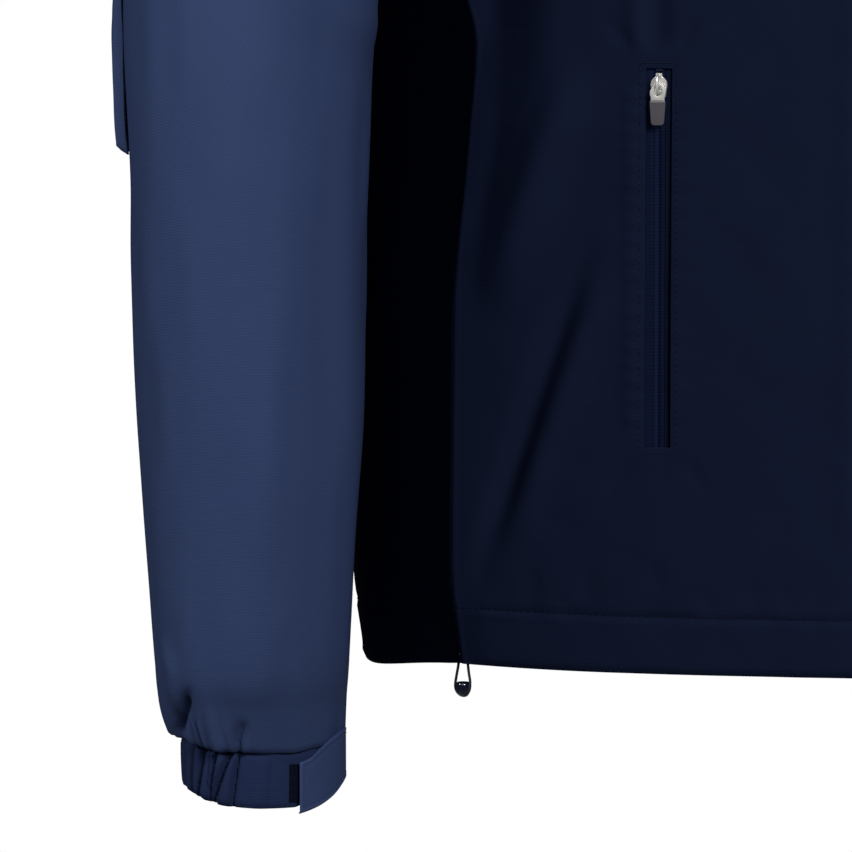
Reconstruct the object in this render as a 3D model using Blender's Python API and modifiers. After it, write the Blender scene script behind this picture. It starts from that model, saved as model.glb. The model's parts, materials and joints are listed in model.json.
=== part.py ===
"""Foul weather jacket: shell, two-layer storm collar, zips, hem cord, pockets and adjustable cuffs.

Metres, +Z up, the wearer faces -Y and the wearer's right is -X.  Shapes are laid out in the
garment's own frame (centre front at the hem is x = 0, z = 0) and then moved so that the model's
origin is under the hang loop at the back of the neck.
"""
import bpy, bmesh, math
from mathutils import Vector

# ------------------------------------------------------------------ driving dimensions
FRONT_Y = -0.112        # plane of the centre front
SHELL_T = 0.0012        # coated shell fabric with its facing
GAP = 0.0004            # clearance between neighbours
N_BODY = 2.5            # squareness of the body's section
CHEST_H = 0.44          # height where the shoulder curve starts
NECK_X = 0.075          # half width of the neck
HEM_DEPTH = 0.028
ZIP_X = 0.1154          # hand pocket zip, from the centre front
ZIP_LOW, ZIP_HIGH = 0.111, 0.294
ZIP_HALF = 0.0064       # half width of the pocket's window
ARM_Y, ARM_H, ARM_RY, ARM_RH = -0.020, 0.525, 0.062, 0.115
CUFF_TOP, CUFF_LOW = -0.0425, -0.0715
LOOP_H = 0.652          # underside of the hang loop
LOOP_Y = 0.0275
ORIGIN = Vector((0.0, LOOP_Y, LOOP_H))

HALF_W = [(0, .267), (.05, .2735), (.15, .2725), (.30, .2675), (.34, .2575), (.37, .2465), (.40, .2375), (.44, .2325), (.80, .232)]
DEPTH_F = [(0, .127), (.30, .127), (.44, .118), (.55, .112), (.80, .112)]
DEPTH_B = [(0, .088), (.30, .092), (.44, .098), (.80, .100)]
# outer edge x, h; inner edge x, h; half depth; centre y, down the sleeve
SLEEVE = [((.222, .640), (.236, .410), .0620, -.020), ((.262, .628), (.2465, .397), .0640, -.022),
          ((.305, .600), (.2505, .383), .0660, -.029), ((.341, .555), (.252, .366), .0665, -.039),
          ((.363, .490), (.254, .344), .0665, -.048), ((.3750, .410), (.2558, .318), .0660, -.055),
          ((.3792, .325), (.2585, .280), .0650, -.060), ((.3762, .2265), (.2612, .215), .0640, -.061),
          ((.3735, .1125), (.2625, .1125), .0600, -.060), ((.3705, .053), (.2662, .053), .0560, -.058),
          ((.3664, .000), (.2690, .000), .0515, -.055), ((.3630, -.022), (.2714, -.022), .0460, -.051),
          ((.3550, -.0418), (.2730, -.0418), .0395, -.0475)]
CUFF_C, CUFF_A, CUFF_B = (.3140, -.048), .0395, .0385

# ------------------------------------------------------------------ scene set-up
for ob in list(bpy.data.objects):
    bpy.data.objects.remove(ob, do_unlink=True)
NAME = "foul_weather_jacket"
PARTS = bpy.data.collections.new(NAME)
CUT = bpy.data.collections.new("cutters")
bpy.context.scene.collection.children.link(PARTS)
bpy.context.scene.collection.children.link(CUT)

MATS = {}
def material(name, rgb, rough, metal=0.0):
    m = bpy.data.materials.new(name)
    m.use_nodes = True
    b = m.node_tree.nodes["Principled BSDF"]
    b.inputs["Base Color"].default_value = (*rgb, 1)
    b.inputs["Roughness"].default_value = rough
    b.inputs["Metallic"].default_value = metal
    MATS[name] = m
material("dark_navy_shell", (.006, .010, .028), .62)
material("navy_sleeve", (.026, .044, .112), .60)
material("lining_knit", (.05, .06, .09), .85)
material("zip_tape", (.005, .008, .022), .55)
material("zip_silver", (.62, .60, .57), .28, 1.0)
material("pull_grey", (.055, .050, .058), .45)
material("teeth_navy", (.008, .012, .03), .35)
material("cord_navy", (.004, .006, .018), .5)
material("hook_loop", (.004, .006, .016), .95)


def lerp(tab, t):
    if t <= tab[0][0]:
        return tab[0][1]
    for (a, va), (b, vb) in zip(tab, tab[1:]):
        if t <= b:
            s = (t - a) / (b - a)
            s = s * s * (3 - 2 * s) * .35 + s * .65
            return va + (vb - va) * s
    return tab[-1][1]


# ------------------------------------------------------------------ body form
def shoulder_h(x):
    return .708 - .31 * abs(x)

def s_fac(x, h, d=0.0):
    if h <= CHEST_H:
        return 1.0
    t = min(1.0, (h - CHEST_H) / (shoulder_h(x) - d - CHEST_H))
    return max(0.0, 1 - t ** 3) ** (1 / 3)

def mid_y(h):
    return FRONT_Y + lerp(DEPTH_F, h) * s_fac(0, h)

def torso(phi, h, d=0.0, side=1):
    """Point of the body form: phi is 0 at the centre front, 90 at the side, 180 at the centre back."""
    a = lerp(HALF_W, h) - d
    s, c = math.sin(math.radians(phi)), math.cos(math.radians(phi))
    x = a * abs(s) ** (2 / N_BODY)
    f = s_fac(x, h, d)
    if c >= 0:
        y = mid_y(h) - (lerp(DEPTH_F, h) * f - d) * abs(c) ** (2 / N_BODY)
    else:
        y = mid_y(h) + (lerp(DEPTH_B, h) * f - d) * abs(c) ** (2 / N_BODY)
    return Vector((side * x, y, h))

def torso_in(phi, h, d, side=1):
    """The body form moved inwards by d, square to its outline."""
    a, b = torso(phi - .4, h, side=side), torso(phi + .4, h, side=side)
    t = (b - a).normalized()
    n = Vector((t.y, -t.x, 0)) * side
    return torso(phi, h, side=side) - n * d

def torso_x(y, h, d=0.0):
    """Half width of the body form at a given y and height."""
    lo, hi = 0.0, lerp(HALF_W, h) - d
    for _ in range(40):
        x = (lo + hi) / 2
        b = lerp(DEPTH_F if y < mid_y(h) else DEPTH_B, h) * s_fac(x, h, d) - d
        r = abs(y - mid_y(h)) / max(b, 1e-6)
        inside = r < 1 and (x / (lerp(HALF_W, h) - d)) < (1 - r ** N_BODY) ** (1 / N_BODY)
        lo, hi = (x, hi) if inside else (lo, x)
    return (lo + hi) / 2

# arc length table, so that columns are evenly spaced round the body
ARC = [0.0]
for k in range(1, 361):
    ARC.append(ARC[-1] + (torso(k / 2, .2) - torso((k - 1) / 2, .2)).length)
def phi_at(s):
    for k in range(1, 361):
        if ARC[k] >= s:
            return (k - 1 + (s - ARC[k - 1]) / (ARC[k] - ARC[k - 1])) / 2
    return 180.0
def s_at(phi):
    k = min(359, int(phi * 2))
    return ARC[k] + (ARC[k + 1] - ARC[k]) * (phi * 2 - k)

def seam_phi(h):
    t = min(1, max(0, (h - .30) / .115))
    return 49.2 + (82 - 49.2) * t * t * (3 - 2 * t)

def neck_h(x, back):
    r = min(1.0, abs(x) / NECK_X)
    return (.667 + .018 * r ** 2) if back else (.600 + .085 * r ** 2.4)

def panel_h(phi, v, d=0.0, back=False, low=0.0, split=.55, end=.9982, drop=0.0):
    """Height of row v on column phi: even rows up to the chest, then closing over the shoulder."""
    if v < split:
        return low + (CHEST_H - low) * v / split
    x = (lerp(HALF_W, .5) - d) * abs(math.sin(math.radians(phi))) ** (2 / N_BODY)
    top = shoulder_h(x) - d
    e = end
    if x < NECK_X:
        tn = min(1.0, (neck_h(x, back) - drop * (1 - (x / NECK_X) ** 4) - CHEST_H) / (top - CHEST_H))
        e = min(end, math.asin(tn ** 1.5) * 2 / math.pi)
    t = (v - split) / (1 - split) * e
    return CHEST_H + (top - CHEST_H) * math.sin(t * math.pi / 2) ** (2 / 3)


# ------------------------------------------------------------------ makers
def finish(ob, mat, pivot=None, smooth=True, coll=None):
    (coll or PARTS).objects.link(ob)
    if mat:
        ob.data.materials.append(MATS[mat])
    p = Vector(pivot) if pivot is not None else Vector((0, 0, 0))
    if ob.type == "MESH":
        for v in ob.data.vertices:
            v.co -= p
        if smooth:
            ob.data.shade_smooth()
            ob.data.set_sharp_from_angle(angle=math.radians(40))
    ob.location = p - ORIGIN
    return ob

def sheet(name, fn, nu, nv, mat, t=SHELL_T, centre=None, closed=False, pivot=None, thick_out=False, coll=None):
    """A grid carried on to a surface, turned to face away from centre(point), then solidified."""
    bm = bmesh.new()
    bmesh.ops.create_grid(bm, x_segments=nu, y_segments=nv, size=1.0)
    for v in bm.verts:
        v.co = fn((v.co.x + 1) / 2, (v.co.y + 1) / 2)
    if closed:
        bmesh.ops.remove_doubles(bm, verts=bm.verts, dist=1e-6)
    bm.normal_update()
    score = sum(f.normal.dot(f.calc_center_median() - centre(f.calc_center_median())) * f.calc_area() for f in bm.faces)
    if (score < 0):
        bmesh.ops.reverse_faces(bm, faces=bm.faces)
    me = bpy.data.meshes.new(name)
    bm.to_mesh(me)
    bm.free()
    ob = finish(bpy.data.objects.new(name, me), mat, pivot, coll=coll)
    m = ob.modifiers.new("thickness", "SOLIDIFY")
    m.thickness, m.offset, m.use_even_offset = t, (1.0 if thick_out else -1.0), False
    return ob

def box(name, lo, hi, mat=None, pivot=None, bevel=0.0, coll=None):
    bm = bmesh.new()
    bmesh.ops.create_cube(bm, size=1.0)
    lo, hi = Vector(lo), Vector(hi)
    for v in bm.verts:
        v.co = Vector([(lo[i] + hi[i]) / 2 + v.co[i] * (hi[i] - lo[i]) for i in range(3)])
    me = bpy.data.meshes.new(name)
    bm.to_mesh(me)
    bm.free()
    ob = finish(bpy.data.objects.new(name, me), mat, pivot, smooth=False, coll=coll)
    if bevel:
        b = ob.modifiers.new("edges", "BEVEL")
        b.width, b.segments = bevel, 1
    return ob

def cut(ob, cutter, op="DIFFERENCE", solver="EXACT"):
    cutter.hide_render, cutter.display_type = True, "WIRE"
    m = ob.modifiers.new(op.lower(), "BOOLEAN")
    m.operation, m.solver, m.object = op, solver, cutter

def cutter_box(name, lo, hi):
    return box(name, lo, hi, coll=CUT)

def tube(name, pts, r, mat, pivot=None, res=2):
    cu = bpy.data.curves.new(name, "CURVE")
    cu.dimensions, cu.bevel_depth, cu.bevel_resolution = "3D", r, res
    cu.resolution_u, cu.render_resolution_u, cu.use_fill_caps = 1, 0, True
    sp = cu.splines.new("POLY")
    p = Vector(pivot) if pivot is not None else Vector((0, 0, 0))
    sp.points.add(len(pts) - 1)
    for q, c in zip(sp.points, pts):
        q.co = (*(Vector(c) - p), 1)
    return finish(bpy.data.objects.new(name, cu), mat, p)

def catmull(pts, n):
    out = []
    for i in range(len(pts) - 1):
        p0, p1, p2, p3 = pts[max(0, i - 1)], pts[i], pts[i + 1], pts[min(len(pts) - 1, i + 2)]
        for j in range(n):
            t = j / n
            out.append(.5 * ((2 * p1) + (p2 - p0) * t + (2 * p0 - 5 * p1 + 4 * p2 - p3) * t * t
                             + (3 * p1 - p0 - 3 * p2 + p3) * t ** 3))
    out.append(pts[-1])
    return out

def torso_axis(p):
    return Vector((0, -.01, min(p.z, .55)))

# ------------------------------------------------------------------ body panels
SIDES = (("right", -1), ("left", 1))
CF = .012                                # half of the front zip's visible width
S0 = s_at(math.degrees(math.asin((CF / lerp(HALF_W, .2)) ** (N_BODY / 2))))

arm_cut = {}
for tag, sx in SIDES:
    bm = bmesh.new()
    bmesh.ops.create_cone(bm, cap_ends=True, segments=40, radius1=1, radius2=1, depth=1)
    for v in bm.verts:
        v.co = Vector((sx * (.27 + v.co.z * .32), ARM_Y + v.co.x * (ARM_RY + .0018), ARM_H + v.co.y * (ARM_RH + .0018)))
    if bm.calc_volume(signed=True) < 0:
        bmesh.ops.reverse_faces(bm, faces=bm.faces)
    me = bpy.data.meshes.new("armhole_" + tag)
    bm.to_mesh(me)
    bm.free()
    arm_cut[tag] = finish(bpy.data.objects.new("armhole_" + tag, me), None, coll=CUT)

# the pocket zip's own straight frame on the panel
def zip_frame(sx):
    def on(h):
        return Vector((sx * ZIP_X, mid_y(h) - lerp(DEPTH_F, h) * (1 - (ZIP_X / lerp(HALF_W, h)) ** N_BODY) ** (1 / N_BODY), h))
    p0, p1 = on(ZIP_LOW), on(ZIP_HIGH)
    up = (p1 - p0).normalized()
    e = .004
    x = ZIP_X
    f = lambda xx, h: mid_y(h) - lerp(DEPTH_F, h) * (1 - (xx / lerp(HALF_W, h)) ** N_BODY) ** (1 / N_BODY)
    slope = (f(x + e, .2) - f(x - e, .2)) / (2 * e)
    across = Vector((1, sx * slope, 0)).normalized()
    out = across.cross(up).normalized()
    if out.y > 0:
        out = -out
    return p0, up, across, out, (p1 - p0).length

for tag, sx in SIDES:
    def front(u, v, sx=sx):
        phi0 = 90
        h = .2
        s = None
        for _ in range(3):
            s = S0 + (s_at(seam_phi(h) - .15) - S0) * u
            phi0 = phi_at(s)
            h = panel_h(phi0, v, back=False)
        if u == 0:
            p = torso(phi0, h, side=sx)
            return Vector((sx * CF, FRONT_Y, h))
        return torso(phi0, h, side=sx)
    ob = sheet(tag + "_front_panel", front, 13, 14, "dark_navy_shell", centre=torso_axis)
    p0, up, across, out, ln = zip_frame(sx)
    c = p0 + up * ln / 2
    w = box("window_" + tag, (-ZIP_HALF, -.01, -ln / 2), (ZIP_HALF, .01, ln / 2), coll=CUT)
    w.location = c - ORIGIN
    w.rotation_euler = (math.atan2(-up.y, up.z) * 1.0, 0, math.atan2(across.y, across.x))
    cut(ob, w)
    cut(ob, arm_cut[tag])

def tail_low(phi):
    """The hem drops a little behind the side seams."""
    t = min(1, max(0, (phi - 46) / 34))
    return -.0078 * t * t * (3 - 2 * t)

def back(u, v):
    sgn = 1 if u >= .5 else -1
    k = abs(u - .5) * 2
    h = .2
    for _ in range(3):
        s_end = s_at(seam_phi(h) + .15)
        s = ARC[-1] + (s_end - ARC[-1]) * k
        phi = phi_at(s)
        h = panel_h(phi, v, back=True, low=tail_low(phi))
    return torso(phi, h, side=sgn)
ob = sheet("back_panel", back, 30, 14, "dark_navy_shell", centre=torso_axis)
cut(ob, arm_cut["right"])
cut(ob, arm_cut["left"])

# drop lining inside the shell, open at the front, sewn in under the armholes
LIN = .0190
def lining(u, v):
    k = abs(u - .5) * 2
    s = ARC[-1] + (s_at(17) - ARC[-1]) * k
    return torso(phi_at(s), .034 + (.398 - .034) * v, d=LIN, side=1 if u >= .5 else -1)
sheet("body_lining", lining, 28, 5, "lining_knit", t=.0010, centre=torso_axis)

# ------------------------------------------------------------------ collar
def collar_pt(psi, v, d=0.0, side=1):
    """psi 0 at the centre front, 180 at the centre back; v 0 at the neck seam, 1 at the top."""
    s, c = math.sin(math.radians(psi)), math.cos(math.radians(psi))
    x = NECK_X * abs(s) ** (2 / N_BODY)
    c = math.copysign(abs(c) ** (2 / N_BODY), c)
    hb = neck_h(x, psi > 90) + .0012
    f = s_fac(x, min(hb, shoulder_h(x) - .0008))
    prof = (1 - (x / .232) ** N_BODY) ** (1 / N_BODY)
    if c >= 0:
        yb = mid_y(hb) - lerp(DEPTH_F, hb) * prof * f
    else:
        yb = mid_y(hb) + lerp(DEPTH_B, hb) * prof * f
    ym = mid_y(.685)
    k = .5 - .5 * math.cos(math.radians(psi))
    ht = .690 + .058 * k
    yt = (FRONT_Y + (ym + .002 - FRONT_Y) * (1 - c)) if c >= 0 else (ym + .002 + (.040 - ym) * -c)
    w = v * v * (3 - 2 * v) * .3 + v * .7
    p = Vector((x * (1 - .06 * w), yb + (yt - yb) * w, hb + (ht - hb) * v))
    ctr = Vector((0, ym, p.z))
    r = p - ctr
    r.z = 0
    if d:
        if psi < 25:
            nd = Vector((0, -1, 0)).lerp(r.normalized(), psi / 25).normalized()
        else:
            nd = r.normalized()
        p -= nd * d
    return Vector((side * p.x, p.y, p.z))

PS0 = math.degrees(math.asin((CF / NECK_X) ** (N_BODY / 2)))
def collar(dfn, v0, v1, ps0, ps1=None):
    def fn(u, v):
        k = abs(u - .5) * 2
        psi = 180 - (180 - ps0) * k
        return collar_pt(psi, v0 + (v1 - v0) * v, dfn(psi), 1 if u >= .5 else -1)
    return fn
def pad(psi, front, back_):
    t = min(1, max(0, (psi - 25) / 35))
    return front + (back_ - front) * t * t * (3 - 2 * t)
ring_c = lambda p: Vector((0, mid_y(.685), p.z))
sheet("collar_outer", collar(lambda p: 0, .01, 1, PS0), 26, 3, "dark_navy_shell", centre=ring_c)
sheet("collar_lining", collar(lambda p: pad(p, .0085, .0165), .12, 1, 22), 22, 3, "lining_knit", t=.0012, centre=ring_c)
def hood_fn(u, v):
    k = abs(u - .5) * 2
    psi = 180 - 100 * k
    return collar_pt(psi, .16 + .66 * v, .0034, 1 if u >= .5 else -1)
sheet("stowed_hood", hood_fn, 20, 3, "dark_navy_shell", t=.0098, centre=ring_c)

# facing inside the back neck, which carries the hang loop
box("neck_facing", (-.040, LOOP_Y + .0050, .590), (.040, LOOP_Y + .0062, .664), "dark_navy_shell")

# hang loop: two sewn legs and a flat bridge
legs = box("hang_loop", (-.0300, LOOP_Y - .004, LOOP_H), (.0300, LOOP_Y + .004, LOOP_H + .0014), "zip_tape", bevel=0)
for k, sx in SIDES:
    leg = box("loop_leg_" + k, (min(sx * .0286, sx * .0300), LOOP_Y - .004, LOOP_H - .016),
              (max(sx * .0286, sx * .0300), LOOP_Y + .004, LOOP_H + .0007), coll=CUT)
    cut(legs, leg, "UNION")

# ------------------------------------------------------------------ front zip
FZ_LOW, FZ_TOP = .0035, .688
def strip(name, x0, x1, y0, y1, h0, h1, mat, nseg=1):
    return box(name, (min(x0, x1), y0, h0), (max(x0, x1), y1, h1), mat)
YT = FRONT_Y + SHELL_T + .0012             # front face of the zip tapes
for tag, sx in SIDES:
    strip(tag + "_front_zip_tape", sx * .0016, sx * .0160, YT, YT + .0008, FZ_LOW, FZ_TOP, "zip_tape")
    strip(tag + "_front_zip_teeth", sx * .0014, sx * .0044, YT - .0020, YT - .0003, FZ_LOW + .012, FZ_TOP - .002, "teeth_navy")
strip("front_zip_pin_box", -.0042, .0042, YT - .0024, YT - .0003, FZ_LOW, FZ_LOW + .0112, "teeth_navy")
SL = .668                                   # slider's resting height, at the top of the collar
sl = box("front_zip_slider", (-.0058, YT - .0044, SL - .009), (.0058, YT - .0030, SL + .009), "zip_silver",
         pivot=(0, YT, SL), bevel=.0005)
for nm, lo, hi in (("post", (-.0009, YT - .0034, SL + .0025), (.0009, YT + .0022, SL + .0075)),
                   ("plate", (-.0050, YT + .0014, SL - .008), (.0050, YT + .0026, SL + .008)),
                   ("bail_low", (-.0012, YT - .0080, SL - .0046), (.0012, YT - .0040, SL - .0034)),
                   ("bail_top", (-.0012, YT - .0080, SL + .0044), (.0012, YT - .0040, SL + .0056)),
                   ("bail_bar", (-.0012, YT - .0084, SL - .0046), (.0012, YT - .0074, SL + .0056))):
    cut(sl, cutter_box("fz_" + nm, lo, hi), "UNION")

def pull(name, pivot, w, ln, t, eye_h, mat, yaw=0.0, ring=.0011):
    """A zip pull hanging from its pivot: an eye that goes round the bail's bar, and a tapered grip."""
    bm = bmesh.new()
    bmesh.ops.create_cube(bm, size=1.0)
    for v in bm.verts:
        k = .5 - v.co.z                     # 0 at the top, 1 at the bottom
        v.co = Vector((v.co.x * w * (1 - .16 * k), v.co.y * t, -eye_h - ln * k))
    me = bpy.data.meshes.new(name)
    bm.to_mesh(me)
    bm.free()
    ob = finish(bpy.data.objects.new(name, me), mat, (0, 0, 0), smooth=False)
    ob.location = Vector(pivot) - ORIGIN
    ob.rotation_euler = (0, 0, yaw)
    b = ob.modifiers.new("edges", "BEVEL")
    b.width, b.segments = min(t, w) * .22, 1
    for nm, lo, hi in (("eye_l", (-w * .36, -t * .35, -eye_h - .0006), (-w * .36 + ring, t * .35, .0010)),
                       ("eye_r", (w * .36 - ring, -t * .35, -eye_h - .0006), (w * .36, t * .35, .0010)),
                       ("eye_t", (-w * .36, -t * .35, .0001), (w * .36, t * .35, .0012))):
        c = box(name + "_" + nm, lo, hi, coll=CUT)
        c.location = Vector(pivot) - ORIGIN
        c.rotation_euler = (0, 0, yaw)
        cut(ob, c, "UNION")
    return ob

# the eye's top bar passes behind the bail's bar, between it and the slider's face
pull("front_zip_pull", (0, YT - .0061, SL - .0018), .0094, .024, .0019, .0075, "pull_grey")

# inner storm flap behind the zip, and the chin guard at its top
box("inner_storm_flap", (-.020, FRONT_Y + .0064, .003), (.024, FRONT_Y + .0076, .640), "dark_navy_shell", bevel=0)
cg = box("chin_guard", (-.0200, FRONT_Y + .0056, .6420), (.0215, FRONT_Y + .0074, .6985), "lining_knit", bevel=.0005)

# ------------------------------------------------------------------ hem
def hem_ring(u, h, d):
    k = abs(u - .5) * 2
    s = ARC[-1] + (s_at(9) - ARC[-1]) * k
    return torso_in(min(179.5, max(.5, phi_at(s))), h, d, side=1 if u >= .5 else -1)
sheet("hem_tunnel", lambda u, v: hem_ring(u, .0035 + .0235 * v, .0082), 40, 1, "dark_navy_shell", t=.0008, centre=torso_axis)
tube("hem_drawcord", [hem_ring(k / 46, .0185, .0055) for k in range(47)], .0009, "cord_navy")
for tag, sx in SIDES:
    seam = torso_in(seam_phi(0), 0, .0040, side=sx)
    nrm = Vector((sx * .80, -.60, 0))
    tan = Vector((-nrm.y, nrm.x, 0))
    pts = [seam + tan * a + Vector((0, 0, z)) for a, z in
           ((-.0026, .0120), (-.0027, .0050), (-.0032, -.0010), (-.0040, -.0048), (-.0026, -.0074), (0, -.0086),
            (.0026, -.0074), (.0040, -.0048), (.0032, -.0010), (.0027, .0050), (.0026, .0120))]
    tube(tag + "_hem_cord_loop", catmull(pts, 2), .00065, "cord_navy")
    # the end of the loop: a small cup, broad above and rounded below
    bm = bmesh.new()
    rings = []
    for r, z in ((.0024, .0034), (.0034, .0028), (.0035, .0012), (.0031, -.0010), (.0022, -.0026), (.0011, -.0033)):
        rings.append([bm.verts.new((r * math.cos(math.pi * j / 7), r * math.sin(math.pi * j / 7), z)) for j in range(14)])
    for lo, hi in zip(rings[1:], rings):
        for j in range(14):
            bm.faces.new((lo[j], lo[(j + 1) % 14], hi[(j + 1) % 14], hi[j]))
    bm.faces.new(rings[0])
    bm.faces.new(rings[-1][::-1])
    me = bpy.data.meshes.new(tag + "_hem_cord_end")
    bm.to_mesh(me)
    bm.free()
    ob = finish(bpy.data.objects.new(tag + "_hem_cord_end", me), "cord_navy")
    ob.location = seam + Vector((0, 0, -.0133)) - ORIGIN

# ------------------------------------------------------------------ hand pockets
for tag, sx in SIDES:
    p0, up, across, out, ln = zip_frame(sx)
    yaw = math.atan2(across.y, across.x)
    c = p0 + up * ln / 2
    rot = w_rot = (math.atan2(-up.y, up.z), 0, yaw)
    def placed(name, lo, hi, mat=None, bevel=0.0, coll=None, centre=c, rot=rot):
        ob = box(name, lo, hi, mat, bevel=bevel, coll=coll)
        ob.location = centre - ORIGIN
        ob.rotation_euler = rot
        return ob
    # local frame: x across, -y out of the jacket, z up; the panel's inner face is at +SHELL_T
    y1 = SHELL_T + .0011
    hl = ln / 2 + .006
    placed(tag + "_pocket_tape_front", (min(-sx * .0008, -sx * .0135), y1, -hl), (max(-sx * .0008, -sx * .0135), y1 + .0007, hl), "zip_tape")
    placed(tag + "_pocket_tape_side", (min(sx * .0008, sx * .0135), y1, -hl), (max(sx * .0008, sx * .0135), y1 + .0007, hl), "zip_tape")
    coil = placed(tag + "_pocket_zip_coil", (-.0026, y1 + .0011, -ln / 2 - .001), (.0026, y1 + .0027, ln / 2 - .0008), "teeth_navy")
    slot = placed("coil_slot_" + tag, (-.0008, y1, -ln / 2 + .002), (.0008, y1 + .004, ln / 2 + .01), coll=CUT)
    cut(coil, slot)
    # slider: top plate outside, post in the slit, back plate behind the coil
    top = ln / 2 - .0085
    pc = c + up * top
    sl = placed(tag + "_pocket_slider", (-.0040, -.0010, -.0062), (.0040, y1 - .0004, .0062), "zip_silver", bevel=.0004, centre=pc)
    for nm, lo, hi in (("post", (-.0004, y1 - .0006, .0006), (.0004, y1 + .0036, .0050)),
                       ("plate", (-.0036, y1 + .0031, -.0050), (.0036, y1 + .0041, .0056)),
                       ("bail_low", (-.0009, -.0042, -.0034), (.0009, -.0008, -.0024)),
                       ("bail_top", (-.0009, -.0042, .0032), (.0009, -.0008, .0042)),
                       ("bail_bar", (-.0009, -.0046, -.0034), (.0009, -.0037, .0042))):
        cu = placed("ps_%s_%s" % (tag, nm), lo, hi, coll=CUT, centre=pc)
        cut(sl, cu, "UNION")
    pull(tag + "_pocket_pull", pc + out * .0026 - up * .0007, .0074, .0118, .0019, .0062, "pull_grey", yaw=yaw, ring=.0010)
    # pocket bag: a flat pouch behind the zip, its mouth facing the zip
    def bag(d, s0, s1, h0, h1, name, mat, t, coll=None, sx=sx):
        def fn(u, v):
            x = s0 + (s1 - s0) * u
            h = h0 + (h1 - h0) * v
            b = lerp(DEPTH_F, h)
            y = mid_y(h) - b * (1 - (x / lerp(HALF_W, h)) ** N_BODY) ** (1 / N_BODY) + d
            return Vector((sx * x, y, h))
        return sheet(name, fn, 6, 5, mat, t=t, centre=torso_axis, coll=coll)
    bg = bag(.0066, .030, .136, .060, .305, tag + "_pocket_bag", "lining_knit", .0098)
    inner = bag(.0074, .032, .134, .062, .303, "bag_hollow_" + tag, None, .0082, coll=CUT)
    cut(bg, inner)
    mouth = placed("bag_mouth_" + tag, (-.0115, .0050, -ln / 2 + .004), (.0115, .0100, ln / 2 - .004), coll=CUT)
    cut(bg, mouth)

# ------------------------------------------------------------------ sleeves and cuffs
def sleeve_ring(k, th, d=0.0):
    (ox, oh), (ix, ih), b, yc = SLEEVE[k]
    c, s = math.cos(th), math.sin(th)
    if k == 0:
        h = ARM_H + ARM_RH * c
        y = ARM_Y - ARM_RY * s
        return Vector((torso_x(y, h), y, h))
    return Vector(((ox + ix) / 2 + (ox - ix) / 2 * c, yc - b * s, (oh + ih) / 2 + (oh - ih) / 2 * c))

def sleeve_pt(th, r):
    """th 0 on the outer edge, 90 degrees at the front; r runs from 0 at the armhole to the last ring."""
    n = len(SLEEVE) - 1
    i = min(n - 1, int(r))
    t = r - i
    p0, p1, p2, p3 = (sleeve_ring(max(0, i - 1), th), sleeve_ring(i, th), sleeve_ring(i + 1, th), sleeve_ring(min(n, i + 2), th))
    if i == 0:
        p0 = p1 * 2 - p2
    return .5 * ((2 * p1) + (p2 - p0) * t + (2 * p0 - 5 * p1 + 4 * p2 - p3) * t * t + (3 * p1 - p0 - 3 * p2 + p3) * t ** 3)

def sleeve_ctr(r):
    return (sleeve_pt(0, r) + sleeve_pt(math.pi, r)) / 2

N_R = len(SLEEVE) - 1
def cuff_pt(th, h, d=0.0):
    a, b = CUFF_A + d, CUFF_B + d
    k = (h - CUFF_TOP) / (CUFF_LOW - CUFF_TOP)
    return Vector((CUFF_C[0] + (a - .0006 * k) * math.cos(th), CUFF_C[1] - (b - .0006 * k) * math.sin(th), h))

for tag, sx in SIDES:
    piv = (sx * .222, ARM_Y, .640)
    flip = lambda p, sx=sx: Vector((sx * p.x, p.y, p.z))
    def near(p, sx=sx):
        best = min((sleeve_ctr(k / 2) for k in range(0, 2 * N_R + 1)), key=lambda q: abs(q.z - p.z) + abs(q.x - abs(p.x)))
        return Vector((sx * best.x, best.y, best.z))
    sheet(tag + "_sleeve", lambda u, v: flip(sleeve_pt(2 * math.pi * u, .004 + (N_R - .004) * v)), 18, 13, "navy_sleeve",
          centre=near, closed=True, pivot=piv)
    ctr = Vector((sx * CUFF_C[0], CUFF_C[1], 0))
    cc = lambda p, ctr=ctr: Vector((ctr.x, ctr.y, p.z))
    sheet(tag + "_cuff_band", lambda u, v: flip(cuff_pt(2 * math.pi * u, CUFF_TOP + (CUFF_LOW - CUFF_TOP) * v)), 26, 2, "navy_sleeve",
          t=.0014, centre=cc, closed=True, pivot=piv)
    # elastic inside the gathered outer part of the band
    sheet(tag + "_cuff_elastic", lambda u, v: flip(cuff_pt(math.radians(-95 + 160 * u), CUFF_TOP - .004 - .020 * v, -.0020)), 14, 1,
          "lining_knit", t=.0012, centre=cc, pivot=piv)
    # loop patch on the band, hook patch under the tab, and the tab itself, which is rooted on the body side
    def arc(a0, a1, h0, h1, d):
        return lambda u, v: flip(cuff_pt(math.radians(a0 + (a1 - a0) * u), h0 + (h1 - h0) * v, d))
    sheet(tag + "_cuff_loop_patch", arc(168, 115, -.0462, -.0665, .0012), 8, 1, "hook_loop", t=.0008, centre=cc, pivot=piv)
    root = flip(cuff_pt(math.radians(176), -.055, .0030))
    def tab_fn(top0, top1, low0, low1, d, a0, a1):
        def fn(u, v):
            top, low = top0 + (top1 - top0) * u, low0 + (low1 - low0) * u
            return flip(cuff_pt(math.radians(a0 + (a1 - a0) * u), top + (low - top) * v, d))
        return fn
    sheet(tag + "_cuff_hook_patch", tab_fn(-.0480, -.0480, -.0665, -.0665, .0024, 153, 128), 5, 1, "hook_loop", t=.0008, centre=cc, pivot=root)
    sheet(tag + "_cuff_tab", tab_fn(-.0375, -.0470, -.0690, -.0730, .0046, 176, 123), 9, 2, "navy_sleeve", t=.0012, centre=cc, pivot=root)

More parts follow.
